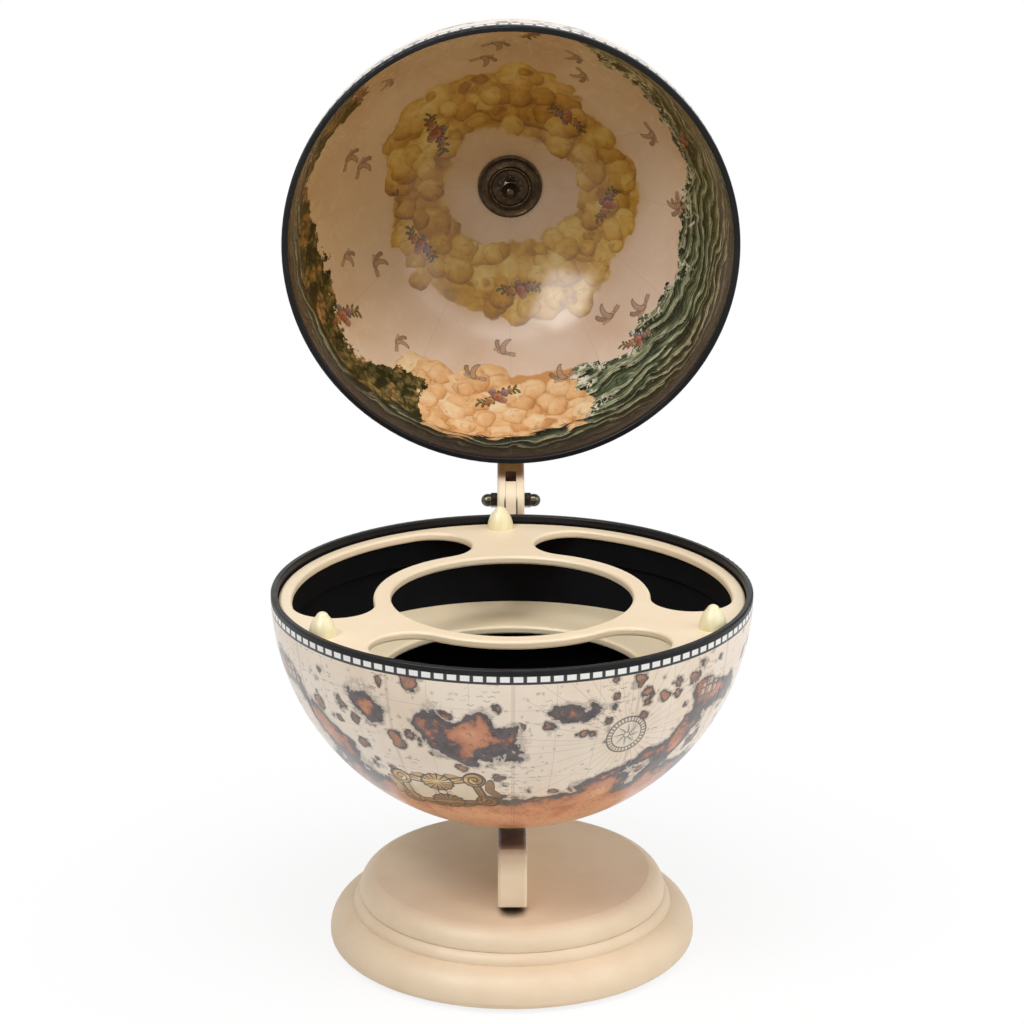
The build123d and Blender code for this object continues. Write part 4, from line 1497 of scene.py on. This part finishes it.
    def looks(self, graph: Graph) -> dict[str, Feed]:
        """The painting in gores that don't quite meet, then a yellow-brown darkening towards one side, and its gloss.

        Args:
            graph: The material's graph.

        Returns:
            What the shader's inputs get, by name.
        """
        chart = graph.chart()
        x, y, z = graph.split(chart)
        out = graph.reach(x, y)
        run = graph.angle(y, x) / TURN + 0.5
        down = graph.angle(out, abs(z)) * INSIDE
        slip = graph.chances(graph.join((run * self.gores).floor(), 4.0))
        slipped = graph.vector("ADD", chart, graph.vector("MULTIPLY", slip, (3.0, 3.0, 3.0)))
        colour = graph.mix(graph.noise(chart, 70.0, 2.0, 0.5, 0.4).rise(0.3, 0.75), self.sky, self.haze)
        colour = self.clouds(graph, colour, slipped)
        colour = self.growth(graph, colour, slipped)
        colour = self.waters(graph, colour, slipped, run, down)
        colour = self.ornaments(graph, colour, run, out, down)
        colour = graph.mix(self.off_seam(run, out).line(0.5) * 0.16, colour, self.seam)
        _, fibre, foxing = AgedPaper.lay(graph, Chart=chart)
        colour = graph.mix(foxing * 0.2, colour, "7c5a3c")
        # A yellow-brown darkening that grows towards the chart's -y and -x side, the top and left of the lid as it
        # stands open, and is weaker on the verge.
        amber = (y * 0.9 + x * 0.42 + (graph.noise(chart, 60.0, 1.0) - 0.5) * 50.0).fall(-70.0, 130.0)
        amber = amber * (graph.level("verge").fall(-8.0, 8.0) * 0.6 + 0.4)
        colour = graph.mix(amber * 0.8, colour, self.amber_tint, "MULTIPLY")
        return {
            "Base Color": graph.mix(abs(z).fall(6.2, 6.8), colour, "141416"),
            "Roughness": graph.noise(chart, 9.0, 2.0).rise(0.4, 0.8) * 0.07 + self.gloss.value,
            "Normal": graph.bump(fibre * 0.1 + graph.noise(chart, 22.0, 2.0), 0.00006),
            "Specular IOR Level": 0.2,
            "Coat Weight": 0.4,
            "Coat Roughness": 0.13,
        }


@dataclass(frozen=True)
class AgedMetal(Finish):
    """Turned or pressed metal under a dark patina, bright where it's rubbed.

    Its tool marks run round an axis through its centre, which is in metres.
    """

    name: str = "antique_bronze"
    gloss: Gloss = Gloss.LACQUER
    patina: str = "271d16"
    body: str = "4b3c2c"
    bright: str = "7d6547"
    centre: Triple = (0.0, 0.0, 0.0)
    axis: Triple = UP

    def looks(self, graph: Graph) -> dict[str, Feed]:
        """Tool marks round the piece's axis, tarnish over them, rubbed edges, and corners darkened by dust and
        painted shade.

        Args:
            graph: The material's graph.

        Returns:
            What the shader's inputs get, by name.
        """
        place = graph.place()
        arm = graph.vector("SUBTRACT", place, self.centre)
        along = graph.dot(arm, self.axis)
        out = graph.math("SQRT", (graph.dot(arm, arm) - along * along).most(0.0))
        height, tarnish = TurnedMetal.lay(graph, Place=place, Out=out)
        (worn,) = EdgeWear.lay(graph, Place=place, Width=0.0006)
        (dust_and_shade,) = CornerDustAndShade.lay(graph, Place=place, Reach=0.003)
        colour = graph.mix(tarnish * 0.7, self.body, self.patina)
        colour = graph.mix(worn * 0.8, colour, self.bright)
        # Dust and painted shade darken the corners; the dust also dulls the metal there.
        return {
            "Base Color": graph.mix(dust_and_shade * 0.5, colour, "1c1610"),
            "Metallic": 1.0 - dust_and_shade * 0.4,
            "Roughness": tarnish * 0.16 + self.gloss.value + dust_and_shade * 0.2,
            "Normal": graph.bump(height, 0.000012),
        }


@dataclass(frozen=True)
class IvoryPlastic(Finish):
    """Moulded ivory plastic that lets a little light in."""

    name: str = "ivory_plastic"
    body: str = "f3e8c2"
    deep: str = "ecdfb4"

    def looks(self, graph: Graph) -> dict[str, Feed]:
        """Faint flow marks, a soft skin, and light under the surface.

        Args:
            graph: The material's graph.

        Returns:
            What the shader's inputs get, by name.
        """
        place = graph.place()
        flow = graph.noise(graph.vector("MULTIPLY", place, (1.0, 1.0, 0.3)), 0.009, 2.0, 0.5, 0.4)
        skin = graph.noise(place, 0.0007, 2.0)
        # Corners that the occlusion finds go yellow with dust, which is also painted shade there.
        (dust_and_shade,) = CornerDustAndShade.lay(graph, Place=place, Reach=0.003)
        colour = graph.mix(flow.rise(0.35, 0.7), self.body, self.deep)
        return {
            "Base Color": graph.mix(dust_and_shade * 0.3, colour, "d9c795"),
            "Roughness": skin * 0.1 + self.gloss.value - 0.08,
            "Normal": graph.bump(skin, 0.00002),
            "Subsurface Weight": 0.35,
            "Subsurface Radius": (1.0, 0.8, 0.45),
            "Subsurface Scale": 0.003,
        }


@dataclass(frozen=True)
class WoolFelt(Finish):
    """Pressed green felt."""

    name: str = "felt"
    gloss: Gloss = Gloss.DULL
    wool: str = "2f4a36"
    pale: str = "4a6650"

    def looks(self, graph: Graph) -> dict[str, Feed]:
        """Tangled fibres with a soft sheen.

        Args:
            graph: The material's graph.

        Returns:
            What the shader's inputs get, by name.
        """
        fibre = graph.noise(graph.warped(graph.place(), 0.003, 0.002), 0.0006, 4.0, 0.75)
        return {
            "Base Color": graph.mix(fibre.rise(0.35, 0.7), self.wool, self.pale),
            "Roughness": fibre * 0.1 + self.gloss.value,
            "Normal": graph.bump(fibre, 0.0003),
            "Sheen Weight": 0.4,
        }


# ---------------------------------------------------------------- Helpers for meshes
def paint_nodes(finish: Finish, *nodes: str) -> bpy.types.Material:
    """Give CAD nodes a finish.

    Args:
        finish: What they get.
        nodes: Their names.

    Returns:
        The finish's material.
    """
    material = finish.material()
    for name in nodes:
        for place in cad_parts[name].material_slots:
            place.material = material
        LOG.info("%s: %s", name, material.name)
    return material


def add_piece(name: str, points: np.ndarray, faces: np.ndarray) -> bpy.types.Object:
    """Make a smooth-shaded object from whole arrays.

    Args:
        name: The piece's name.
        points: Its corners, N by 3, in metres in the part's frame.
        faces: Its four-cornered faces, M by 4.

    Returns:
        The object, at the origin, with its faces turned outwards.
    """
    first, second, third, fourth = (points[faces[:, at]] for at in range(4))
    sides = np.cross(second, third) + np.cross(third, fourth)
    volume = np.einsum("ij,ij->", first, sides)
    ordered = faces if volume > 0 else faces[:, ::-1]
    mesh = bpy.data.meshes.new(name)
    mesh.vertices.add(len(points))
    mesh.vertices.foreach_set("co", points.astype(np.float32).ravel())
    mesh.loops.add(ordered.size)
    mesh.loops.foreach_set("vertex_index", ordered.astype(np.int32).ravel())
    mesh.polygons.add(len(ordered))
    mesh.polygons.foreach_set("loop_start", np.arange(0, ordered.size, 4, dtype=np.int32))
    mesh.polygons.foreach_set("use_smooth", np.ones(len(ordered), dtype=bool))
    mesh.update(calc_edges=True)
    mesh.validate()
    piece = bpy.data.objects.new(name, mesh)
    bpy.context.scene.collection.objects.link(piece)
    return piece


def grid_faces(rows: int, columns: int, closed_rows: bool) -> np.ndarray:
    """The faces of a grid that is closed round its columns, and round its rows too if asked.

    Args:
        rows: Points along a profile.
        columns: Copies of the profile.
        closed_rows: Whether the profile runs back to its start.

    Returns:
        Corner numbers, M by 4, where point (row, column) is number row * columns + column.
    """
    row, column = np.meshgrid(np.arange(rows if closed_rows else rows - 1), np.arange(columns), indexing="ij")
    below, beside = (row + 1) % rows, (column + 1) % columns
    corners = (row * columns + column, row * columns + beside, below * columns + beside, below * columns + column)
    return np.stack(corners, axis=-1).reshape(-1, 4)


# ---------------------------------------------------------------- The two printed halves
class Half(Enum):
    """Which half of the globe, by the sign of its height when the lid is shut."""

    BOWL = -1
    LID = 1


@dataclass(frozen=True)
class Patch:
    """An oval on the globe: its middle in degrees, its half sizes in millimetres, and its turn in degrees."""

    east: float
    north: float
    long: float
    wide: float
    turn: float = 0.0

    def inside(self, way: np.ndarray, radius: float) -> np.ndarray:
        """How far points are inside the oval.

        Args:
            way: Unit vectors from the globe's centre, N by 3.
            radius: The globe's radius in millimetres.

        Returns:
            About how many millimetres inside the edge each is: one less the oval radius, times the mean half size.
            The globe's far side counts as an oval radius of 4.
        """
        along, across, outward = flat_axes(*np.radians([self.east, self.north, self.turn]))
        oval = np.sqrt((way @ along * radius / self.long) ** 2 + (way @ across * radius / self.wide) ** 2)
        oval = np.where(way @ outward > 0.0, oval, 4.0)
        return (1.0 - oval) * 0.5 * (self.long + self.wide)


def merged(fields: list[np.ndarray], sharpness: float) -> np.ndarray:
    """Several fields as one, whose shapes flow together: the log of the sum of their exponentials."""
    return np.logaddexp.reduce(np.stack(fields) * sharpness, axis=0) / sharpness


def ripples(way: np.ndarray, radius: float, waves: tuple[Pair, ...], seed: int) -> np.ndarray:
    """A slow wobble over the globe.

    Args:
        way: Unit vectors, N by 3.
        radius: The globe's radius in millimetres.
        waves: (length, height) pairs in millimetres.
        seed: Picks their directions and phases.

    Returns:
        The sum, over four sine waves of each length, of sin(2 pi way.direction / length + phase) x height / 2.
    """
    random = np.random.default_rng(seed)
    total = np.zeros(len(way))
    for length, height in waves:
        for _ in range(4):
            direction = random.normal(size=3)
            direction /= np.linalg.norm(direction)
            total += np.sin(way @ direction * radius * TURN / length + random.uniform(0, 6.283)) * height / 2.0
    return total


@dataclass
class PrintedHalf:
    """One half of the globe: a pressed shell with its print outside and its lining inside.

    Lengths are in millimetres and angles in degrees. Mouth is how far from the equator the wall stops, pin is the
    hinge pin's place behind and above the globe's centre, and seam is the depth of the groove between two gores.
    Crease is the angle, in radians, from which an edge is sharp. Blend is how sharply lands flow together, and the
    waves that make their shores and the painting's edges wander are (length, height) pairs.
    """

    half: Half
    outside: float = OUTSIDE
    inside: float = INSIDE
    mouth: float = 4.5
    bolt_hole: float = 4.3
    height: float = 260.0
    pin: Pair = (193.9974, 1.0)
    opened: float = 85.0
    gores: int = GORES
    gore_columns: int = 26
    seam: float = 0.12
    seam_side: float = 0.35
    outer_rows: int = 104
    inner_rows: int = 88
    crease: float = 0.8
    blend: float = 0.35
    shore_waves: tuple[Pair, ...] = ((60.0, 2.6), (26.0, 2.2))
    paint_waves: tuple[Pair, ...] = ((70.0, 3.0), (34.0, 2.0))
    lands: tuple[Patch, ...] = (
        Patch(-86, -61, 116, 64), Patch(-64, -40, 34, 22, 38), Patch(-124, -48, 40, 20, -30),
        Patch(-30, -52, 34, 22), Patch(-101, -17, 34, 19, -12), Patch(-88, -22, 16, 11, 40),
        Patch(-128, -13, 19, 11, 10), Patch(-144, -25, 27, 14, -50), Patch(-77, -12, 13, 8),
        Patch(-47, -27, 22, 12, 30), Patch(-31, -15, 20, 11, -20), Patch(-163, -13, 15, 9),
        Patch(-170, -34, 20, 12), Patch(-6, -24, 30, 15, 35), Patch(14, -48, 44, 24, 20),
        Patch(52, -58, 40, 22), Patch(78, -22, 30, 15, -25), Patch(120, -40, 46, 28, 15), Patch(44, -14, 14, 8),
        Patch(158, -16, 22, 12, 30), Patch(172, -60, 30, 18), Patch(100, -10, 10, 6),
        Patch(-80, 28, 58, 34, 12), Patch(-120, 46, 40, 26, -30), Patch(-40, 52, 46, 24, 20),
        Patch(-24, 18, 26, 14), Patch(-104, 12, 16, 9), Patch(-150, 14, 28, 13, 20), Patch(10, 38, 66, 38, -15),
        Patch(44, 14, 24, 12), Patch(36, 56, 40, 26, 40), Patch(76, 50, 54, 34, 30), Patch(104, 20, 40, 22, 8),
        Patch(150, 34, 70, 40, -20), Patch(128, 50, 44, 24, 30), Patch(-178, 58, 44, 26), Patch(84, 78, 34, 24),
        Patch(-68, 70, 40, 22), Patch(66, 26, 22, 12, -30),
    )

    @property
    def name(self) -> str:
        """The CAD node that this piece stands for."""
        return "bowl_shell" if self.half is Half.BOWL else "lid_shell"

    def columns(self) -> np.ndarray:
        """Angles round the globe.

        Returns:
            Even steps in each gore, and three close together on its seam, in radians.
        """
        step = TURN / self.gores
        beside = self.seam_side / self.outside
        even = np.linspace(0.0, step, self.gore_columns + 1)[1:-1]
        gore = np.concatenate(([0.0, beside], even, [step - beside]))
        return (np.arange(self.gores)[:, None] * step + gore[None, :]).ravel()

    def profile(self) -> tuple[np.ndarray, np.ndarray, np.ndarray]:
        """The shell's section, once round: an arc of each sphere from mouth to bolt hole.

        Returns:
            Radii from the axis, depths from the equator, and which finish the band after each point has:
            0 outside, 1 inside, 2 the edges of mouth and hole.
        """
        outer_ends = np.arcsin(self.mouth / self.outside), np.arccos(self.bolt_hole / self.outside)
        inner_ends = np.arccos(self.bolt_hole / self.inside), np.arcsin(self.mouth / self.inside)
        outer, inner = np.linspace(*outer_ends, self.outer_rows), np.linspace(*inner_ends, self.inner_rows)
        radii = np.concatenate((self.outside * np.cos(outer), self.inside * np.cos(inner)))
        depths = np.concatenate((self.outside * np.sin(outer), self.inside * np.sin(inner)))
        finish = np.zeros(len(radii), dtype=np.int32)
        finish[self.outer_rows - 1] = 2
        finish[self.outer_rows : -1] = 1
        finish[-1] = 2
        return radii, depths, finish

    def settled(self, shut: np.ndarray) -> np.ndarray:
        """Move points from the shut globe to where the half stands.

        Args:
            shut: Millimetres about the globe's centre with the lid shut.

        Returns:
            Metres in the part's frame. The lid's points are swung back by the opened angle about the pin.
        """
        x, y, z = shut.T
        if self.half is Half.LID:
            turn = np.radians(-self.opened)
            y, z = y - self.pin[0], z - self.pin[1]
            y, z = y * np.cos(turn) - z * np.sin(turn), y * np.sin(turn) + z * np.cos(turn)
            y, z = y + self.pin[0], z + self.pin[1]
        return np.stack((x, y, z + self.height), axis=1) * MM

    def painting(self, way: np.ndarray) -> dict[str, np.ndarray]:
        """Where the lid's painting has what: bands between arcs from the pole, cut by sectors round it.

        Args:
            way: Unit vectors, N by 3.

        Returns:
            Millimetres inside the ring of cloud, the bank, the sea, the verge and the trees.
        """
        turn = np.degrees(np.arctan2(way[:, 1], way[:, 0]))
        down = np.arccos(np.clip(np.abs(way[:, 2]), 0.0, 1.0)) * self.inside
        angle = np.radians(turn)
        wobble = ripples(way, self.inside, self.paint_waves, 5)

        def between(low: float, high: float) -> np.ndarray:
            """Millimetres inside a sector, measured along the parallel.

            Args:
                low: Where it begins, in degrees.
                high: Where it ends.

            Returns:
                A number for each point.
            """
            middle, half = (low + high) / 2.0, (high - low) / 2.0
            away = np.abs((turn - middle + 180.0) % 360.0 - 180.0)
            return np.radians(half - away) * np.maximum(np.sin(down / self.inside), 0.2) * self.inside

        inner = 46.0 + 4.0 * np.sin(2 * angle + 1.0)
        outer = 104.0 + 7.0 * np.sin(2 * angle - 0.6) + 3.0 * np.sin(5 * angle + 2.0)
        fields = {
            "ring": np.minimum(down - inner, outer - down),
            "sea": np.minimum(down - 172.0 + 19.0 * np.cos(angle - 0.35), between(-72.0, 66.0)),
            "bank": np.minimum(down - 160.0 - 10.0 * np.sin(3 * angle), between(63.0, 120.0)),
            "trees": np.minimum(down - 183.0 + 13.0 * np.sin(7 * angle), between(116.0, 222.0)),
            "verge": down - 213.0 + 10.0 * np.sin(2 * angle + 0.7),
        }
        return {name: value + wobble for name, value in fields.items()}

    def build(self, finishes: list[bpy.types.Material]) -> bpy.types.Object:
        """Build the half: its profile carried round the axis, with a groove at each seam.

        Args:
            finishes: Materials for the outside, the inside, and the edges.

        Returns:
            The piece, riding with its body and standing for its CAD node.
        """
        radii, depths, finish = self.profile()
        turns = self.columns()
        seam_columns = np.isclose(np.arange(len(turns)) % (self.gore_columns + 2), 0)
        groove = np.where(seam_columns[None, :] & (finish[:, None] == 0), self.seam, 0.0)
        groove[self.outer_rows - 1] = 0.0
        shrink = 1.0 - groove / self.outside
        x = radii[:, None] * shrink * np.cos(turns)[None, :]
        y = radii[:, None] * shrink * np.sin(turns)[None, :]
        z = float(self.half.value) * depths[:, None] * shrink
        shut = np.stack(np.broadcast_arrays(x, y, z), axis=-1).reshape(-1, 3)
        piece = add_piece(f"{self.name}_printed", self.settled(shut), grid_faces(len(radii), len(turns), True))
        mesh = piece.data
        for material in finishes:
            mesh.materials.append(material)
        mesh.polygons.foreach_set("material_index", np.repeat(finish, len(turns)).astype(np.int32))
        mesh.set_sharp_from_angle(angle=self.crease)
        way = shut / np.linalg.norm(shut, axis=1, keepdims=True)
        land = merged([patch.inside(way, self.outside) for patch in self.lands], self.blend)
        fields = {"land": land + ripples(way, self.outside, self.shore_waves, 11)}
        if self.half is Half.LID:
            fields |= self.painting(way)
        for name, values in fields.items():
            mesh.attributes.new(name, "FLOAT", "POINT").data.foreach_set("value", values.astype(np.float32))
        chart = mesh.attributes.new("chart", "FLOAT_VECTOR", "POINT")
        chart.data.foreach_set("vector", shut.astype(np.float32).ravel())
        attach(piece, "stand" if self.half is Half.BOWL else "lid")
        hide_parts(self.name)
        LOG.info("%s: %d faces", piece.name, len(mesh.polygons))
        return piece


# ---------------------------------------------------------------- Wood, fittings and fixings
@dataclass
class Woodwork:
    """The plinth, both arms and the shelves: painted CAD nodes, with wax, dust and painted shade in their corners,
    and painted shade laid where shade falls. Lengths are in metres.
    """

    cream: tuple[str, ...] = ("upper_shelf", "bowl_bush", "lid_bush")
    black: tuple[str, ...] = ("bowl_rim_ring", "lid_rim_ring")
    dull: tuple[str, ...] = ("shelf_hoop", "shelf_cleat_1", "shelf_cleat_2", "shelf_cleat_3")
    # Painted shade: dark colour on the arm's top under the bowl, in the hinge slot, and on the lid arm's front under
    # the rim.
    under_bowl: StainAndPaintedShade = StainAndPaintedShade((0.0, 0.0, 0.092), (0.05, 0.098), UP)
    in_slot: StainAndPaintedShade = StainAndPaintedShade(HINGE_PIN, (0.0262, 0.0268), (0.0, -0.7, -0.7), across=0.0049, tone="3f1a0a")
    by_rim: StainAndPaintedShade = StainAndPaintedShade((0.0, 0.226, 0.283), (0.0195, 0.031), (0.0, -0.5, 0.87), tone="8f6420")
    toe_reach: Pair = (0.004, 0.017)
    toe_inset: float = 0.003
    toe_width: float = 0.006
    brow_height: float = 0.2965
    brow_width: float = 0.02
    haze_reach: Pair = (0.2, 0.222)
    edge_reach: Pair = (0.2, 0.206)

    def build(self) -> bpy.types.Material:
        """Paint the nodes, and lay painted shade and a painted shadow on them.

        Returns:
            The dull black, for the globe's lining.
        """
        front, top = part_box("stand_arm")[0][1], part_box("plinth")[1][2]
        toe, brow = (0.0, front + self.toe_inset, top), (0.0, front, self.brow_height)
        # Painted shadow of the toe on the plinth, and painted shade of the bowl in two layers on the foot's upper
        # front.
        under_toe = StainAndPaintedShade(toe, self.toe_reach, UP, self.toe_width, soft=self.toe_width, tone="2e200c")
        haze = StainAndPaintedShade(brow, self.haze_reach, FORWARD, self.brow_width, strength=0.46, tone="8a5220")
        edge = StainAndPaintedShade(brow, self.edge_reach, FORWARD, self.brow_width, strength=0.45, tone="70400f")
        plinth = CreamPaint("cream_paint_of_the_plinth", Gloss.SOFT, "e9d3b5", "e4ccac", painted_shades=(under_toe,))
        paint_nodes(CreamPaint(), *self.cream)
        paint_nodes(plinth, "plinth")
        paint_nodes(CreamPaint("cream_paint_of_the_lower_shelf", coat="ffeecd", thick="fde9c4"), "lower_shelf")
        # Painted shade on the stand arm and the lid arm.
        stand_painted_shades, lid_painted_shades = (self.under_bowl, haze, edge), (self.by_rim, self.in_slot)
        paint_nodes(CreamPaint("cream_paint_of_the_stand_arm", Gloss.SOFT, painted_shades=stand_painted_shades), "stand_arm")
        paint_nodes(CreamPaint("cream_paint_of_the_lid_arm", Gloss.SOFT, painted_shades=lid_painted_shades), "lid_arm")
        paint_nodes(BlackLacquer(), *self.black)
        return paint_nodes(BlackLacquer("black_lining", Gloss.DULL, dusty="161517", shine=0.05), *self.dull)


@dataclass
class Fittings:
    """The bronze hubs and hinge nuts, the steel in them, the pegs and the felt. Places are in metres."""

    lid_centre: Triple = (0.0, 0.17609, 0.45417)
    lid_axis: Triple = (0.0, 0.99619, 0.08716)

    def build(self) -> None:
        """Give each fitting its finish, the metals turned about their own axes."""
        bowl = {"centre": GLOBE_CENTRE}
        lid = {"centre": self.lid_centre, "axis": self.lid_axis}
        hinge = {"centre": HINGE_PIN, "axis": CROSSWISE, "gloss": Gloss.POLISHED}
        steel = {"patina": "191410", "body": "453b30", "bright": "a39a8b"}
        rubbed = {"patina": "2c2720", "body": "625b4e", "bright": "d8d0bc"}
        polished = {"gloss": Gloss.POLISHED, **steel}
        paint_nodes(AgedMetal("bronze_of_the_bowl", **bowl), "bowl_rosette", "bowl_bolt")
        paint_nodes(AgedMetal("bronze_of_the_lid", **lid), "lid_rosette", "lid_bolt")
        paint_nodes(AgedMetal("bronze_of_the_hinge", **hinge, **rubbed), "hinge_nut_left", "hinge_nut_right")
        paint_nodes(AgedMetal("steel_of_the_bowl", **bowl, **polished), "bowl_lock_washer", "bowl_cap_nut")
        paint_nodes(AgedMetal("steel_of_the_lid", **lid, **polished), "lid_lock_washer", "lid_cap_nut")
        paint_nodes(AgedMetal("steel_of_the_pin", **hinge, **steel), "hinge_pin")
        paint_nodes(AgedMetal("steel_of_the_screws", **polished), "foot_screws", "peg_screws")
        paint_nodes(IvoryPlastic(), "guide_peg_1", "guide_peg_2", "guide_peg_3")
        paint_nodes(WoolFelt(), "felt_ring")


# ---------------------------------------------------------------- Studio
@dataclass(frozen=True)
class Lamp:
    """A soft rectangular lamp. Its place, size and aim are in metres, its power in watts, its beam in degrees.

    Lights says whether it lights plain surfaces, and shines whether it's seen in gloss.
    """

    name: str
    place: Triple
    size: Pair
    power: float
    aim: Triple = (0.0, 0.05, 0.32)
    beam: float = 180.0
    lights: bool = True
    shines: bool = True

    def build(self) -> None:
        """Hang the lamp."""
        light = bpy.data.lights.new(self.name, "AREA")
        light.shape = "RECTANGLE"
        light.size, light.size_y = self.size
        light.energy = self.power
        light.spread = np.radians(self.beam)
        lamp = bpy.data.objects.new(self.name, light)
        lamp.location = self.place
        lamp.rotation_euler = (Vector(self.aim) - lamp.location).to_track_quat("-Z", "Y").to_euler()
        lamp.visible_diffuse, lamp.visible_glossy = self.lights, self.shines
        bpy.context.scene.collection.objects.link(lamp)


@dataclass
class Studio:
    """A pale floor, soft light from above and in front, and the camera.

    Lengths are in metres and angles in degrees. Gap is how far the floor lies under the felt. Room and bounce are how
    bright the room and the floor are where they only give light.
    """

    target: Triple = (0.0, 0.0, 0.3134)
    distance: float = 2.216
    elevation: float = 17.62
    yaw: float = -0.25
    lens: float = 114.6
    sensor: float = 36.0
    floor_rings: tuple[float, ...] = (0.02, 0.4, 1.2, 4.0, 30.0)
    floor_sides: int = 96
    gap: float = 0.0003
    room: float = 0.31
    bounce: float = 0.8
    matt_white: float = 0.96
    shadow_fades: Pair = (0.12, 0.42)
    shadow: float = 0.16
    lamps: tuple[Lamp, ...] = (
        Lamp("left_softbox", (-0.95, -0.95, 1.78), (0.72, 0.48), 13.5, shines=False),
        Lamp("right_softbox", (1.9, -0.65, 1.55), (2.0, 2.0), 22.2),
        Lamp("top_softbox", (0.1, -0.7, 2.45), (1.4, 1.0), 19.0),
        Lamp("low_card", (1.0, -1.25, 0.5), (0.8, 0.5), 0.15, (0.0, 0.0, 0.02), beam=30.0, shines=False),
        Lamp("sheen_softbox", (-0.98, -1.16, 1.72), (1.0, 1.15), 42.0, lights=False),
    )

    @staticmethod
    def seen(graph: Graph) -> Signal:
        """1 for what is seen, straight or in gloss, and 0 for what only gives light."""
        return graph.ray("Camera").most(graph.ray("Glossy"))

    def floor(self) -> bpy.types.Object:
        """A wide round floor that is white far off and keeps the soft shadow near the object.

        Returns:
            The floor: flat rings of corners round the origin, and a disc in the middle.
        """
        turns = np.linspace(0.0, TURN, self.floor_sides + 1)[:-1]
        rings = np.array(self.floor_rings)[:, None]
        level = np.full((len(rings), len(turns)), -self.gap)
        points = np.stack((rings * np.cos(turns), rings * np.sin(turns), level), axis=-1).reshape(-1, 3)
        mesh = bpy.data.meshes.new("floor")
        faces = grid_faces(len(rings), len(turns), False)[:, ::-1].tolist()
        mesh.from_pydata(points.tolist(), [], faces + [list(range(len(turns)))])
        floor = bpy.data.objects.new("floor", mesh)
        bpy.context.scene.collection.objects.link(floor)
        mesh.materials.append(self.floor_material())
        return floor

    def floor_material(self) -> bpy.types.Material:
        """A matt white that glows where it's seen, and less near the middle, so that a shadow shows there.

        Returns:
            The material.
        """
        material = bpy.data.materials.new("pale_floor")
        material.use_nodes = True
        graph, nodes = Graph(material.node_tree), material.node_tree.nodes
        nodes.remove(nodes["Principled BSDF"])
        pale = graph.mix(graph.ray("Camera"), (self.bounce,) * 3, (self.matt_white,) * 3)
        x, y, _ = graph.split(graph.place())
        glow = graph.reach(x, y).rise(*self.shadow_fades) * self.shadow + (1.0 - self.shadow)
        mixed = graph.node("MixShader", {0: self.seen(graph) * glow})
        matt = graph.node("BsdfDiffuse", {"Color": pale})
        white = graph.node("Emission", {"Color": "ffffff", "Strength": 1.0})
        graph.tree.links.new(matt.outputs[0], mixed.inputs[1])
        graph.tree.links.new(white.outputs[0], mixed.inputs[2])
        graph.tree.links.new(mixed.outputs[0], nodes["Material Output"].inputs["Surface"])
        return material

    def world(self) -> None:
        """An even room: white where it's seen, and softer as light."""
        world = bpy.data.worlds.new("room")
        bpy.context.scene.world = world
        world.use_nodes = True
        graph, background = Graph(world.node_tree), world.node_tree.nodes["Background"]
        strength = self.seen(graph).most(graph.ray("Transmission")) * (1.0 - self.room) + self.room
        graph.feed(background.inputs["Color"], "ffffff")
        graph.feed(background.inputs["Strength"], strength)

    def camera(self) -> None:
        """The camera, straight in front and a little above."""
        yaw, rise = np.radians([self.yaw, self.elevation])
        back = Vector((np.sin(yaw) * np.cos(rise), -np.cos(yaw) * np.cos(rise), np.sin(rise)))
        data = bpy.data.cameras.new("camera")
        data.sensor_width = self.sensor
        data.lens = self.lens
        camera = bpy.data.objects.new("camera", data)
        camera.location = Vector(self.target) + back * self.distance
        camera.rotation_euler = (-back).to_track_quat("-Z", "Y").to_euler()
        bpy.context.scene.collection.objects.link(camera)
        bpy.context.scene.camera = camera

    def build(self) -> None:
        """Set the whole studio up."""
        self.floor()
        self.world()
        for lamp in self.lamps:
            lamp.build()
        self.camera()
        bpy.context.scene.view_settings.view_transform = "Standard"


def main() -> None:
    """Build the bar piece by piece, then its studio."""
    logging.basicConfig(level=logging.INFO, format="%(name)s %(message)s")
    black = Woodwork().build()
    chart = ChartPrint().material()
    PrintedHalf(Half.BOWL).build([chart, black, black])
    PrintedHalf(Half.LID).build([chart, SkyPainting().material(), black])
    Fittings().build()
    Studio().build()


if __name__ == "__main__":
    main()
